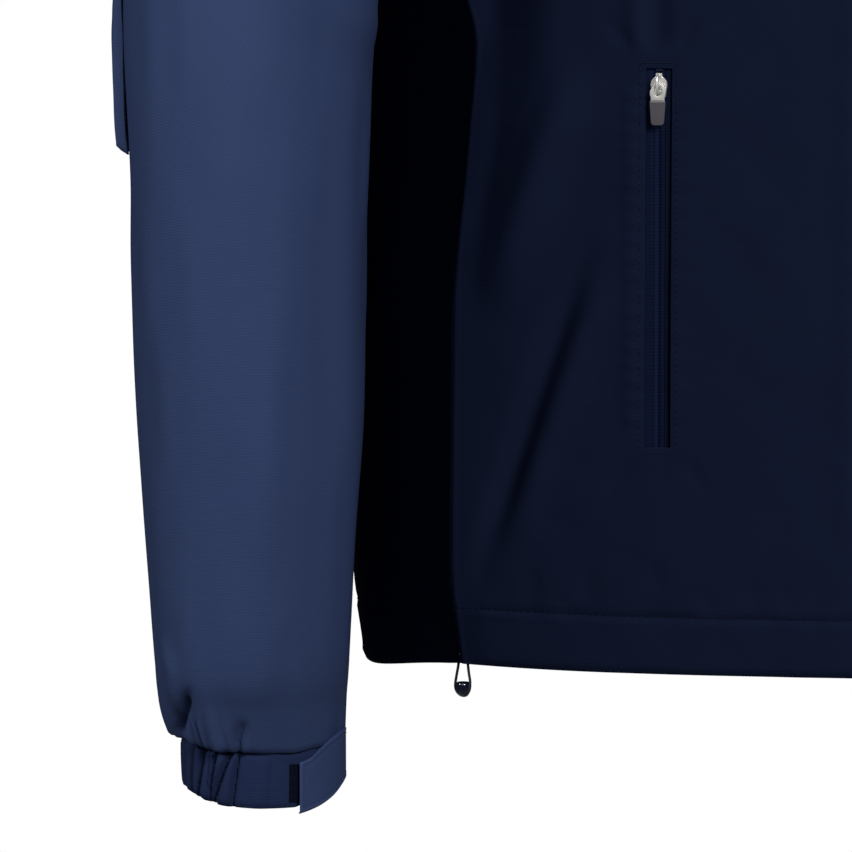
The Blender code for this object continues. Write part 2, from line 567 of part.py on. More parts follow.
# ------------------------------------------------------------------ bellows pocket on the right sleeve
def outside(y0, y1, r0, r1, d):
    """Patch on the outer side of the right sleeve, raised by d; u runs front to back, v downwards."""
    def fn(u, v):
        r = r0 + (r1 - r0) * v
        yv = y0 + (y1 - y0) * u
        i = min(N_R - 1, int(r))
        b = SLEEVE[i][2] + (SLEEVE[i + 1][2] - SLEEVE[i][2]) * (r - i)
        th = math.asin(max(-1, min(1, -yv / b)))
        p = sleeve_pt(th, r)
        e = .01
        n = (sleeve_pt(th + e, r) - sleeve_pt(th - e, r)).cross(sleeve_pt(th, r + e) - sleeve_pt(th, r - e)).normalized()
        if n.x < 0:
            n = -n
        p = p + n * d
        return Vector((-p.x, p.y, p.z))
    return fn
R_TOP, R_LOW = 5.0, 6.78                      # from h = .41 down to h = .25 on the outer edge
inward = lambda p: Vector((-.32, -.048, p.z))
pk = sheet("right_sleeve_pocket", outside(-.014, .052, 5.18, R_LOW, .0058), 8, 7, "navy_sleeve", t=.0052, centre=inward, pivot=(-.222, ARM_Y, .640))
pc_ = sheet("sleeve_pocket_hollow", outside(-.0125, .0505, 5.02, R_LOW - .03, .0048), 8, 7, None, t=.0033, centre=inward, coll=CUT)
cut(pk, pc_)
fp = outside(-.0155, .0535, 5.0, 5.6, .0078)
hinge_p = fp(.5, .0)
sheet("right_sleeve_pocket_flap", outside(-.0155, .0535, 5.02, 5.62, .0076), 8, 3, "navy_sleeve", t=.0012, centre=inward,
      pivot=(hinge_p.x, hinge_p.y, hinge_p.z))

# ------------------------------------------------------------------ numbers a reader may want
def show(label, p):
    print(label, [round(c, 5) for c in (Vector(p) - ORIGIN)])
for tag, sx in SIDES:
    p0, up, across, out, ln = zip_frame(sx)
    pc = p0 + up * (ln - .0085)
    show(tag + " pocket pull pivot", pc + out * .0026 - up * .0007)
    print(tag, "zip up", [round(c, 5) for c in up], "across", [round(c, 5) for c in across], "len", round(ln, 4))
    root = cuff_pt(math.radians(176), -.055, .0030)
    show(tag + " cuff tab root", (sx * root.x, root.y, root.z))
    show(tag + " hem seam", torso_in(seam_phi(0), 0, .0040, side=sx))
show("front pull pivot", (0, YT - .0061, SL - .0018))
show("flap hinge", hinge_p)
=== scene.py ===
"""Foul weather jacket: cloth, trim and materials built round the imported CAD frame."""
import math, json
import bpy, bmesh
import numpy as np
from mathutils import Vector, Matrix

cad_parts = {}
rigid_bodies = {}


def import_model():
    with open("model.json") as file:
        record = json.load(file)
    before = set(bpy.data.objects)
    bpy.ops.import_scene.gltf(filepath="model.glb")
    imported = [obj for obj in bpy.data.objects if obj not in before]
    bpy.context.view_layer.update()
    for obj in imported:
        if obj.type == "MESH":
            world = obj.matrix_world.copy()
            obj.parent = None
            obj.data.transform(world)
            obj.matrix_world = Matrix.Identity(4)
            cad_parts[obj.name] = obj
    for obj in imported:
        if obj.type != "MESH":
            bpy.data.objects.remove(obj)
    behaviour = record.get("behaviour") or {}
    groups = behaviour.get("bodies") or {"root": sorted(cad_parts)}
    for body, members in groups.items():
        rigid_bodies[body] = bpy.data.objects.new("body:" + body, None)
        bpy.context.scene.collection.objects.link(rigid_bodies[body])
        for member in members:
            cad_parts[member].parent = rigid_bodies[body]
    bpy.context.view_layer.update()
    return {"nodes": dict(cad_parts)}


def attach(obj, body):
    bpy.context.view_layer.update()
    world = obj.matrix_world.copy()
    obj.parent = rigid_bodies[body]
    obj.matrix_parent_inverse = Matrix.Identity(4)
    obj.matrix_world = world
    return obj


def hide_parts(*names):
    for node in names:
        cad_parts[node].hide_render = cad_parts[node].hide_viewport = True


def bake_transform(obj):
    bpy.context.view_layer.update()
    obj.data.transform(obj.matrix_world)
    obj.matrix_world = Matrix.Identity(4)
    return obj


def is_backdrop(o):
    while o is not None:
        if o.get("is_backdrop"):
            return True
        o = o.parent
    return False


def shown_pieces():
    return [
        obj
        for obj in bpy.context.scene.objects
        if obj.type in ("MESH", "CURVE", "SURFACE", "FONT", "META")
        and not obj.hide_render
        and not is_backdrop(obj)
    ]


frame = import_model()
scene = bpy.context.scene
for ob in frame["nodes"].values():
    ob.data.materials.clear()

# ------------------------------------------------------------------ camera, light, stage
ORIGIN = np.array([0.0, .0275, .652])        # hang loop in the garment's own frame (z = 0 is the hem)
def W(p):
    return Vector(np.asarray(p, float) - ORIGIN)

cam_d = bpy.data.cameras.new("camera")
cam = bpy.data.objects.new("camera", cam_d)
scene.collection.objects.link(cam)
cam.location = W((0, -3.112, .45))
aim = W((-.2270, -.112, .1211))
cam.rotation_euler = (aim - cam.location).to_track_quat("-Z", "Y").to_euler()
cam_d.sensor_width, cam_d.lens = 36.0, 264.6
cam_d.clip_end = 60
scene.camera = cam

def area(name, loc, size, power, target=(-.15, -.1, .25), col=(1, 1, 1)):
    d = bpy.data.lights.new(name, "AREA")
    d.energy, d.size, d.color = power, size, col
    o = bpy.data.objects.new(name, d)
    scene.collection.objects.link(o)
    o.location = W(loc)
    o.rotation_euler = (W(target) - o.location).to_track_quat("-Z", "Y").to_euler()
    return o
KEY = area("key", (-3.1, -1.85, 1.80), .8, 64)
FRONT = area("front", (1.40, -3.1, 1.9), 1.2, 103)
FILL = area("fill", (-.6, -3.3, 1.9), 1.8, 18)
area("back", (0.2, 2.6, 1.6), 2.0, 30)

world = bpy.data.worlds.new("studio")
scene.world = world
world.use_nodes = True
nt = world.node_tree
nt.nodes.clear()
out = nt.nodes.new("ShaderNodeOutputWorld")
mix = nt.nodes.new("ShaderNodeMixShader")
lp = nt.nodes.new("ShaderNodeLightPath")
b1 = nt.nodes.new("ShaderNodeBackground")
b2 = nt.nodes.new("ShaderNodeBackground")
b1.inputs[0].default_value, b1.inputs[1].default_value = (1, 1, 1, 1), .03
b2.inputs[0].default_value, b2.inputs[1].default_value = (1, 1, 1, 1), 1.0
nt.links.new(lp.outputs["Is Camera Ray"], mix.inputs[0])
nt.links.new(b1.outputs[0], mix.inputs[1])
nt.links.new(b2.outputs[0], mix.inputs[2])
nt.links.new(mix.outputs[0], out.inputs[0])
scene.view_settings.view_transform = "Standard"
scene.view_settings.look = "None"

bpy.ops.mesh.primitive_circle_add(vertices=64, radius=1.05, fill_type="NGON", location=W((0, 0, -.46)))
floor = bpy.context.object
floor.name = "studio_floor"
floor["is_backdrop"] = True

# ------------------------------------------------------------------ materials
def principled(name, col, rough, metal=0.0, spec=.5, sheen=0.0, coat=0.0):
    m = bpy.data.materials.new(name)
    m.use_nodes = True
    b = m.node_tree.nodes["Principled BSDF"]
    b.inputs["Base Color"].default_value = (*col, 1)
    b.inputs["Roughness"].default_value = rough
    b.inputs["Metallic"].default_value = metal
    b.inputs["Specular IOR Level"].default_value = spec
    b.inputs["Sheen Weight"].default_value = sheen
    b.inputs["Sheen Roughness"].default_value = .45
    b.inputs["Coat Weight"].default_value = coat
    b.inputs["Coat Roughness"].default_value = .12
    return m, m.node_tree, b

def math_node(nt, op, a, b=None, clamp=False):
    n = nt.nodes.new("ShaderNodeMath")
    n.operation, n.use_clamp = op, clamp
    for i, v in enumerate((a, b)):
        if v is None:
            continue
        if isinstance(v, (int, float)):
            n.inputs[i].default_value = v
        else:
            nt.links.new(v, n.inputs[i])
    return n.outputs[0]

def noise(nt, vec, scale, detail=2.0, rough=.5):
    n = nt.nodes.new("ShaderNodeTexNoise")
    n.inputs["Scale"].default_value = scale
    n.inputs["Detail"].default_value = detail
    n.inputs["Roughness"].default_value = rough
    nt.links.new(vec, n.inputs["Vector"])
    return n.outputs["Fac"]

def weave(name, col, rough=.62, pitch_v=.00125, pitch_u=.0006, spec=.08, sheen=.0, contrast=.055, bump=.22, mottle=.07):
    """Woven shell fabric: fine weft ribs across the piece, thin warp lines, slubs and slow mottling."""
    m, nt, b = principled(name, col, rough, spec=spec, sheen=sheen)
    uv = nt.nodes.new("ShaderNodeUVMap")
    uv.uv_map = "cloth"
    sep = nt.nodes.new("ShaderNodeSeparateXYZ")
    nt.links.new(uv.outputs[0], sep.inputs[0])
    slub_m = nt.nodes.new("ShaderNodeMapping")
    slub_m.inputs["Scale"].default_value = (60, 900, 1)
    nt.links.new(uv.outputs[0], slub_m.inputs[0])
    slub = noise(nt, slub_m.outputs[0], 1.0, 3.0, .6)
    rib = math_node(nt, "SINE", math_node(nt, "MULTIPLY", sep.outputs[1], 2 * math.pi / pitch_v))
    warp = math_node(nt, "SINE", math_node(nt, "MULTIPLY", sep.outputs[0], 2 * math.pi / pitch_u))
    h = math_node(nt, "ADD", math_node(nt, "MULTIPLY", rib, .5), math_node(nt, "MULTIPLY", warp, .22))
    h = math_node(nt, "ADD", h, math_node(nt, "MULTIPLY", slub, 1.1))
    bp = nt.nodes.new("ShaderNodeBump")
    bp.inputs["Strength"].default_value = bump
    bp.inputs["Distance"].default_value = .00022
    nt.links.new(h, bp.inputs["Height"])
    nt.links.new(bp.outputs[0], b.inputs["Normal"])
    slow = noise(nt, uv.outputs[0], 14.0, 3.0, .55)
    f = math_node(nt, "ADD", math_node(nt, "MULTIPLY", rib, contrast * .5), math_node(nt, "MULTIPLY", math_node(nt, "SUBTRACT", slub, .5), contrast * 2.2))
    f = math_node(nt, "ADD", f, math_node(nt, "MULTIPLY", math_node(nt, "SUBTRACT", slow, .5), mottle * 2))
    f = math_node(nt, "ADD", f, .5, clamp=True)
    cm = nt.nodes.new("ShaderNodeMix")
    cm.data_type = "RGBA"
    cm.inputs[6].default_value = (*[c * .55 for c in col], 1)
    cm.inputs[7].default_value = (*[c * 1.45 for c in col], 1)
    nt.links.new(f, cm.inputs[0])
    nt.links.new(cm.outputs[2], b.inputs["Base Color"])
    return m

DARK = (.0092, .0142, .0390)
NAVY = (.0316, .0515, .1300)
M_DARK = weave("shell_dark_weave", DARK, rough=.72, spec=.02)
M_NAVY = weave("shell_navy_weave", NAVY, rough=.70, spec=.10)
# Cuff band: a darker copy of the sleeve navy, partly the band's own darker tone and partly painted shade of the band
# tucked under the sleeve.
M_CUFF_TONE_AND_SHADE = weave("shell_cuff_weave_tone_and_painted_shade", (NAVY[0] * .46, NAVY[1] * .46, NAVY[2] * .53), rough=.74, spec=.05)
M_TAPE = weave("zip_tape_weave", (.0052, .0092, .0330), rough=.7, pitch_v=.0007, pitch_u=.0009, spec=.05, contrast=.25, bump=.8)
M_LINING = weave("lining_knit", (.020, .026, .052), rough=.9, pitch_v=.0016, pitch_u=.0016, spec=.2, contrast=.35, bump=.9)
M_ELASTIC = weave("elastic_rib", (.012, .017, .042), rough=.8, pitch_v=.003, pitch_u=.0012, spec=.2, sheen=.2, contrast=.4, bump=1.0)
M_LOOP = weave("hook_loop_pile", (.0042, .0058, .0165), rough=.95, pitch_v=.0009, pitch_u=.0009, spec=.04, contrast=.5, bump=1.0)

def object_noise_mat(name, col, rough, metal=0.0, spec=.5, scale=900, bump=.2, dist=.0001, var=.12, coat=0.0, sheen=0.0):
    m, nt, b = principled(name, col, rough, metal, spec, sheen, coat)
    tc = nt.nodes.new("ShaderNodeTexCoord")
    f = noise(nt, tc.outputs["Object"], scale, 4.0, .55)
    slow = noise(nt, tc.outputs["Object"], scale / 12, 2.0, .5)
    bp = nt.nodes.new("ShaderNodeBump")
    bp.inputs["Strength"].default_value = bump
    bp.inputs["Distance"].default_value = dist
    nt.links.new(f, bp.inputs["Height"])
    nt.links.new(bp.outputs[0], b.inputs["Normal"])
    rr = math_node(nt, "ADD", rough - .06, math_node(nt, "MULTIPLY", slow, .12))
    nt.links.new(rr, b.inputs["Roughness"])
    cm = nt.nodes.new("ShaderNodeMix")
    cm.data_type = "RGBA"
    cm.inputs[6].default_value = (*[c * (1 - var) for c in col], 1)
    cm.inputs[7].default_value = (*[min(1, c * (1 + var)) for c in col], 1)
    nt.links.new(slow, cm.inputs[0])
    nt.links.new(cm.outputs[2], b.inputs["Base Color"])
    return m
M_SILVER = object_noise_mat("bright_nickel", (.84, .83, .80), .32, .60, scale=1400, bump=.06, dist=.00005, var=.08)
M_GRIP = object_noise_mat("grip_grey", (.062, .057, .066), .48, 0, .4, scale=2600, bump=.25, dist=.00006)
M_TEETH = object_noise_mat("teeth_navy", (.008, .012, .032), .32, 0, .5, scale=1800, bump=.1)
M_CORD = object_noise_mat("cord_braid", (.0045, .0065, .018), .55, 0, .3, scale=4200, bump=.8, dist=.0002, sheen=.2)
M_BEAD = object_noise_mat("bead_gloss", (.0045, .006, .017), .16, 0, .6, scale=700, bump=.04, coat=.6)
M_THREAD = object_noise_mat("thread_navy", (.0060, .0090, .0250), .6, 0, .08, scale=3800, bump=.6, dist=.0001)
M_THREAD_L = object_noise_mat("thread_sleeve", (.023, .037, .095), .6, 0, .10, scale=3800, bump=.6, dist=.0001, sheen=.2)
M_FLOOR = object_noise_mat("floor_pale", (.86, .86, .87), .6, scale=40, bump=.02, var=.01)
floor.data.materials.append(M_FLOOR)

# ------------------------------------------------------------------ body form, as the CAD lays it out
FRONT_Y, N_BODY, CHEST_H, NECK_X, HEM_DEPTH = -.112, 2.5, .44, .075, .028
CF = .012
ZIP_X, ZIP_LOW, ZIP_HIGH, ZIP_HALF = .1154, .111, .294, .0064
ARM_Y, ARM_H, ARM_RY, ARM_RH = -.020, .525, .062, .115
CUFF_TOP, CUFF_LOW = -.0425, -.0685
HALF_W = [(0, .267), (.05, .2735), (.15, .2725), (.30, .2675), (.34, .2575), (.37, .2465), (.40, .2375), (.44, .2325), (.80, .232)]
DEPTH_F = [(0, .127), (.30, .127), (.44, .118), (.55, .112), (.80, .112)]
DEPTH_B = [(0, .088), (.30, .092), (.44, .098), (.80, .100)]
SLEEVE = [((.222, .640), (.236, .410), .0620, -.020), ((.262, .628), (.2465, .397), .0640, -.022),
          ((.305, .600), (.2505, .383), .0660, -.029), ((.341, .555), (.252, .366), .0665, -.039),
          ((.363, .490), (.254, .344), .0665, -.048), ((.3750, .410), (.2558, .318), .0660, -.055),
          ((.3792, .325), (.2585, .280), .0650, -.060), ((.3762, .2265), (.2612, .215), .0640, -.061),
          ((.3735, .1125), (.2625, .1125), .0600, -.060), ((.3705, .053), (.2662, .053), .0560, -.058),
          ((.3664, .000), (.2690, .000), .0515, -.055), ((.3630, -.022), (.2714, -.022), .0460, -.051),
          ((.3550, -.0418), (.2730, -.0418), .0395, -.0475)]
CUFF_C, CUFF_A, CUFF_B = (.3131, -.048), .0413, .0385

def smooth_tab(tab):
    xs = np.array([a for a, _ in tab], float)
    ys = np.array([b for _, b in tab], float)
    d = np.diff(ys) / np.diff(xs)
    m = np.zeros(len(xs))
    for i in range(1, len(xs) - 1):
        m[i] = 0 if d[i - 1] * d[i] <= 0 else 2 * d[i - 1] * d[i] / (d[i - 1] + d[i])
    m[0], m[-1] = d[0], d[-1]
    def f(t):
        t = np.clip(np.asarray(t, float), xs[0], xs[-1])
        i = np.clip(np.searchsorted(xs, t, side="right") - 1, 0, len(xs) - 2)
        hh = xs[i + 1] - xs[i]
        s = (t - xs[i]) / hh
        return ((2 * s ** 3 - 3 * s ** 2 + 1) * ys[i] + (s ** 3 - 2 * s ** 2 + s) * hh * m[i]
                + (-2 * s ** 3 + 3 * s ** 2) * ys[i + 1] + (s ** 3 - s ** 2) * hh * m[i + 1])
    return f
hw, df, db = smooth_tab(HALF_W), smooth_tab(DEPTH_F), smooth_tab(DEPTH_B)

def shoulder_h(x):
    return .708 - .31 * np.abs(x)
def s_fac(x, h):
    t = np.clip((h - CHEST_H) / (shoulder_h(x) - CHEST_H), 0, 1)
    return np.clip(1 - t ** 3, 0, None) ** (1 / 3)
def mid_y(h):
    return FRONT_Y + df(h) * s_fac(0.0, h)
def torso(phi, h):
    """phi in degrees, 0 centre front to 180 centre back (arrays). Wearer's left (+x)."""
    a = hw(h)
    s, c = np.sin(np.radians(phi)), np.cos(np.radians(phi))
    x = a * np.abs(s) ** (2 / N_BODY)
    f = s_fac(x, h)
    y = np.where(c >= 0, mid_y(h) - df(h) * f * np.abs(c) ** (2 / N_BODY), mid_y(h) + db(h) * f * np.abs(c) ** (2 / N_BODY))
    return np.stack([x, y, np.broadcast_to(h, x.shape)], -1)
def phi_of_x(x, h):
    return np.degrees(np.arcsin(np.clip((x / hw(h)), 0, 1) ** (N_BODY / 2)))
def torso_x(y, h):
    lo, hi = np.zeros_like(y), hw(h) * np.ones_like(y)
    for _ in range(42):
        x = (lo + hi) / 2
        b = np.where(y < mid_y(h), df(h), db(h)) * s_fac(x, h)
        r = np.abs(y - mid_y(h)) / np.maximum(b, 1e-6)
        ins = (r < 1) & ((x / hw(h)) < np.clip(1 - r ** N_BODY, 0, None) ** (1 / N_BODY))
        lo, hi = np.where(ins, x, lo), np.where(ins, hi, x)
    return (lo + hi) / 2
def seam_phi(h):
    t = np.clip((h - .30) / .115, 0, 1)
    return 49.2 + (82 - 49.2) * t * t * (3 - 2 * t)
def neck_h(x, back):
    r = np.minimum(1.0, np.abs(x) / NECK_X)
    return (.667 + .018 * r ** 2) if back else (.600 + .085 * r ** 2.4)

def tail_low(phi):
    return -.0078 * ss((np.asarray(phi, float) - 46) / 34)

def row_curve(v_kind, v, phis, back):
    """One level line of the body: v_kind 'h' is a plain height, 't' runs from the chest over the shoulder."""
    if v_kind == "h":
        return torso(phis, v + (tail_low(phis) * (1 - v / CHEST_H) if back else 0.0 * phis))
    h = .6 + 0 * phis
    for _ in range(12):
        x = hw(h) * np.abs(np.sin(np.radians(phis))) ** (2 / N_BODY)
        top = shoulder_h(x)
        tn = np.clip((neck_h(x, back) - CHEST_H) / (top - CHEST_H), 0, 1)
        e = np.where(x < NECK_X, np.minimum(.9998, np.arcsin(tn ** 1.5) * 2 / np.pi), .9998)
        h = CHEST_H + (top - CHEST_H) * np.sin(v * e * np.pi / 2) ** (2 / 3)
    return torso(phis, h)

def resample(P, n):
    s = np.concatenate([[0], np.cumsum(np.linalg.norm(np.diff(P, axis=0), axis=1))])
    t = np.linspace(0, s[-1], n)
    return np.stack([np.interp(t, s, P[:, i]) for i in range(3)], -1)

def half_body(back, xs, n2, hs, nt_, x0=0.0):
    """Grid of one half (+x) of the front or back, from its centre line to the side seam or the armhole."""
    rows = []
    ts = np.linspace(0, 1, nt_ + 1)[1:]
    for kind, v in [("h", h) for h in hs] + [("t", t) for t in ts]:
        if back:
            phis = np.linspace(180, 60, 1600)
        else:
            phis = np.linspace(0.0, 95, 1600)
        C = row_curve(kind, v, phis, back)
        g = ((C[:, 1] - ARM_Y) / ARM_RY) ** 2 + ((C[:, 2] - ARM_H) / ARM_RH) ** 2 - 1
        inside = np.where((g < 0) & (C[:, 0] > .12))[0]
        if len(inside):
            k = inside[0]
            f = g[k - 1] / (g[k - 1] - g[k])
            C = np.vstack([C[:k], C[k - 1] + (C[k] - C[k - 1]) * f])
        else:
            if kind == "h":
                ph = float(seam_phi(v))
                k = np.argmax(phis < ph) if back else np.argmax(phis > ph)
                f = (ph - phis[k - 1]) / (phis[k] - phis[k - 1])
                C = np.vstack([C[:k], C[k - 1] + (C[k] - C[k - 1]) * f])
            else:
                k = np.argmax(phis < 90) if back else np.argmax(phis > 90)
                C = C[:k + 1]
        x = C[:, 0]
        first = np.stack([np.interp(xs, x, C[:, 0]), np.interp(xs, x, C[:, 1]), np.interp(xs, x, C[:, 2])], -1)
        rest_i = np.where(x > xs[-1])[0]
        rest = np.vstack([first[-1], C[rest_i[0]:]])
        rows.append(np.vstack([first[:-1], resample(rest, n2)]))
    return np.array(rows)

# ------------------------------------------------------------------ mesh makers
def normals_of(P, closed=False):
    if closed:
        du = np.roll(P, -1, 1) - np.roll(P, 1, 1)
    else:
        du = np.gradient(P, axis=1)
    dv = np.gradient(P, axis=0)
    n = np.cross(du, dv)
    return n / np.maximum(np.linalg.norm(n, axis=-1, keepdims=True), 1e-12)

def uv_of(P, closed=False):
    U = np.concatenate([np.zeros((P.shape[0], 1)), np.cumsum(np.linalg.norm(np.diff(P, axis=1), axis=-1), 1)], 1)
    U = np.broadcast_to(U.mean(0, keepdims=True), U.shape)
    V = np.concatenate([np.zeros((1, P.shape[1])), np.cumsum(np.linalg.norm(np.diff(P, axis=0), axis=-1), 0)], 0)
    V = V.mean(1, keepdims=True) * np.ones((1, P.shape[1]))
    return np.stack([U, V], -1)

def make_mesh(name, verts, faces, mat, uvs=None, smooth=True):
    me = bpy.data.meshes.new(name)
    me.from_pydata([tuple(v) for v in (np.asarray(verts) - ORIGIN)], [], faces)
    if uvs is not None:
        lay = me.uv_layers.new(name="cloth")
        idx = np.zeros(len(me.loops), np.int32)
        me.loops.foreach_get("vertex_index", idx)
        lay.data.foreach_set("uv", np.asarray(uvs, np.float32)[idx].ravel())
    me.update()
    if smooth:
        me.shade_smooth()
    ob = bpy.data.objects.new(name, me)
    scene.collection.objects.link(ob)
    if mat:
        me.materials.append(mat)
    return ob

AREAS = {}
def cloth(name, P, mat, t=.0011, closed=False, hole=None, outward=1, uv=None):
    """A closed two-layer cloth piece from a grid (rows, columns, 3).  hole(j, i) drops a cell."""
    nv, nu = P.shape[:2]
    N = normals_of(P, closed) * outward
    Q = P - N * t
    if uv is None:
        uv = uv_of(P, closed)
    V = np.concatenate([P.reshape(-1, 3), Q.reshape(-1, 3)])
    UV = np.concatenate([uv.reshape(-1, 2)] * 2)
    o = nv * nu
    keep = np.ones((nv - 1, nu if closed else nu - 1), bool)
    if hole is not None:
        for j in range(keep.shape[0]):
            for i in range(keep.shape[1]):
                if hole(j, i):
                    keep[j, i] = False
    faces, edges = [], {}
    for j in range(keep.shape[0]):
        for i in range(keep.shape[1]):
            if not keep[j, i]:
                continue
            i2 = (i + 1) % nu
            a, b, c, d = j * nu + i, j * nu + i2, (j + 1) * nu + i2, (j + 1) * nu + i
            q = (a, b, c, d) if outward > 0 else (d, c, b, a)
            faces.append(q)
            faces.append(tuple(o + k for k in reversed(q)))
            for e in ((q[0], q[1]), (q[1], q[2]), (q[2], q[3]), (q[3], q[0])):
                if (e[1], e[0]) in edges:
                    del edges[(e[1], e[0])]
                else:
                    edges[e] = 1
    for (a, b) in edges:
        faces.append((b, a, o + a, o + b))
    used = np.zeros(len(V), bool)
    for f in faces:
        for k in f:
            used[k] = True
    remap = np.cumsum(used) - 1
    faces = [tuple(int(remap[k]) for k in f) for f in faces]
    ob = make_mesh(name, V[used], faces, mat, UV[used])
    ob.data.set_sharp_from_angle(angle=math.radians(50))
    du = np.linalg.norm(np.diff(P, axis=1), axis=-1)
    AREAS[name] = float((np.linalg.norm(np.cross(P[1:, 1:] - P[:-1, :-1], P[1:, :-1] - P[:-1, 1:]), axis=-1) / 2).sum())
    return ob

def tube_mesh(name, pts, r, mat, n=10, closed=False, cap=True, rfun=None):
    pts = np.asarray(pts, float)
    m = len(pts)
    tan = np.gradient(pts, axis=0) if not closed else np.roll(pts, -1, 0) - np.roll(pts, 1, 0)
    tan /= np.linalg.norm(tan, axis=1, keepdims=True)
    ref = np.array([0, 0, 1.0]) if abs(tan[0][2]) < .9 else np.array([0, 1.0, 0])
    u = np.cross(tan[0], ref)
    u /= np.linalg.norm(u)
    V, faces, UV = [], [], []
    L = 0
    for k in range(m):
        u = u - tan[k] * np.dot(u, tan[k])
        u /= np.linalg.norm(u)
        w = np.cross(tan[k], u)
        rr = r if rfun is None else r * rfun(k / (m - 1))
        if k:
            L += np.linalg.norm(pts[k] - pts[k - 1])
        for j in range(n):
            a = 2 * math.pi * j / n
            V.append(pts[k] + (u * math.cos(a) + w * math.sin(a)) * rr)
            UV.append((a * r, L))
    rng = m if closed else m - 1
    for k in range(rng):
        for j in range(n):
            k2, j2 = (k + 1) % m, (j + 1) % n
            faces.append((k * n + j, k * n + j2, k2 * n + j2, k2 * n + j))
    if not closed and cap:
        faces.append(tuple(range(n - 1, -1, -1)))
        faces.append(tuple((m - 1) * n + j for j in range(n)))
    return make_mesh(name, V, faces, mat, UV)

def stitches(name, path, nrm, mat, length=.0026, gap=.0009, r=.00022, lift=.00012):
    """A run of single stitches along a path: little rounded bars lying on the cloth."""
    path, nrm = np.asarray(path, float), np.asarray(nrm, float)
    s = np.concatenate([[0], np.cumsum(np.linalg.norm(np.diff(path, axis=0), axis=1))])
    V, F, UV = [], [], []
    t = gap
    while t + length < s[-1]:
        k0 = len(V)
        for q, rr in ((0, .25), (.12, .8), (.5, 1.0), (.88, .8), (1, .25)):
            tt = t + q * length
            p = np.array([np.interp(tt, s, path[:, i]) for i in range(3)])
            n = np.array([np.interp(tt, s, nrm[:, i]) for i in range(3)])
            n /= np.linalg.norm(n)
            p2 = np.array([np.interp(min(tt + .0003, s[-1]), s, path[:, i]) for i in range(3)])
            d = p2 - np.array([np.interp(tt - .0001, s, path[:, i]) for i in range(3)])
            d /= np.linalg.norm(d)
            w = np.cross(n, d)
            c = p + n * (lift + r * .6 * math.sin(math.pi * q))
            for a in range(6):
                ang = math.pi * a / 3
                V.append(c + (w * math.cos(ang) * 1.25 + n * math.sin(ang)) * r * rr)
                UV.append((ang * r, tt))
        for ring in range(4):
            for a in range(6):
                a2 = (a + 1) % 6
                F.append((k0 + ring * 6 + a, k0 + ring * 6 + a2, k0 + ring * 6 + 6 + a2, k0 + ring * 6 + 6 + a))
        F.append(tuple(k0 + a for a in range(5, -1, -1)))
        F.append(tuple(k0 + 24 + a for a in range(6)))
        t += length + gap
    return make_mesh(name, V, F, mat, UV)

def bmesh_box(name, lo, hi, mat, bevel=.0004, seg=2, M=None, taper=None):
    bm = bmesh.new()
    bmesh.ops.create_cube(bm, size=1.0)
    lo, hi = Vector(lo), Vector(hi)
    for v in bm.verts:
        k = .5 - v.co.z
        v.co = Vector([(lo[i] + hi[i]) / 2 + v.co[i] * (hi[i] - lo[i]) for i in range(3)])
        if taper:
            v.co.x *= 1 - taper * k
    if bevel:
        bmesh.ops.bevel(bm, geom=list(bm.edges), offset=bevel, segments=seg, profile=.6, affect="EDGES")
    if M is not None:
        bm.transform(M)
    me = bpy.data.meshes.new(name)
    bm.to_mesh(me)
    bm.free()
    me.shade_smooth()
    me.set_sharp_from_angle(angle=math.radians(32))
    ob = bpy.data.objects.new(name, me)
    scene.collection.objects.link(ob)
    me.materials.append(mat)
    return ob

def join(name, obs):
    """One mesh from several pieces, in world space."""
    bm = bmesh.new()
    mats = []
    for o in obs:
        tmp = o.data.copy()
        tmp.transform(o.matrix_world)
        n0 = len(bm.faces)
        bm.from_mesh(tmp)
        m = o.data.materials[0]
        if m not in mats:
            mats.append(m)
        bm.faces.ensure_lookup_table()
        for f in bm.faces[n0:]:
            f.material_index = mats.index(m)
        bpy.data.meshes.remove(tmp)
    me = bpy.data.meshes.new(name)
    bm.to_mesh(me)
    bm.free()
    ob = bpy.data.objects.new(name, me)
    scene.collection.objects.link(ob)
    for m in mats:
        me.materials.append(m)
    for o in obs:
        bpy.data.objects.remove(o)
    return ob

def ss(t):
    t = np.clip(t, 0, 1)
    return t * t * (3 - 2 * t)

def vnoise(P, scale, seed=0):
    """Smooth value noise on an array of points, about -1 to 1."""
    q = np.asarray(P, float) * scale + seed * 17.31
    i = np.floor(q).astype(np.int64)
    f = q - i
    f = f * f * f * (f * (f * 6 - 15) + 10)
    def hsh(ix, iy, iz):
        n = (ix * 374761393 + iy * 668265263 + iz * 2147483647 + seed * 144665) & 0xffffffff
        n = ((n ^ (n >> 13)) * 1274126177) & 0xffffffff
        return ((n ^ (n >> 16)) & 0xffff) / 32767.5 - 1
    out_ = 0
    for dx in (0, 1):
        for dy in (0, 1):
            for dz in (0, 1):
                w = (f[..., 0] if dx else 1 - f[..., 0]) * (f[..., 1] if dy else 1 - f[..., 1]) * (f[..., 2] if dz else 1 - f[..., 2])
                out_ = out_ + w * hsh(i[..., 0] + dx, i[..., 1] + dy, i[..., 2] + dz)
    return out_

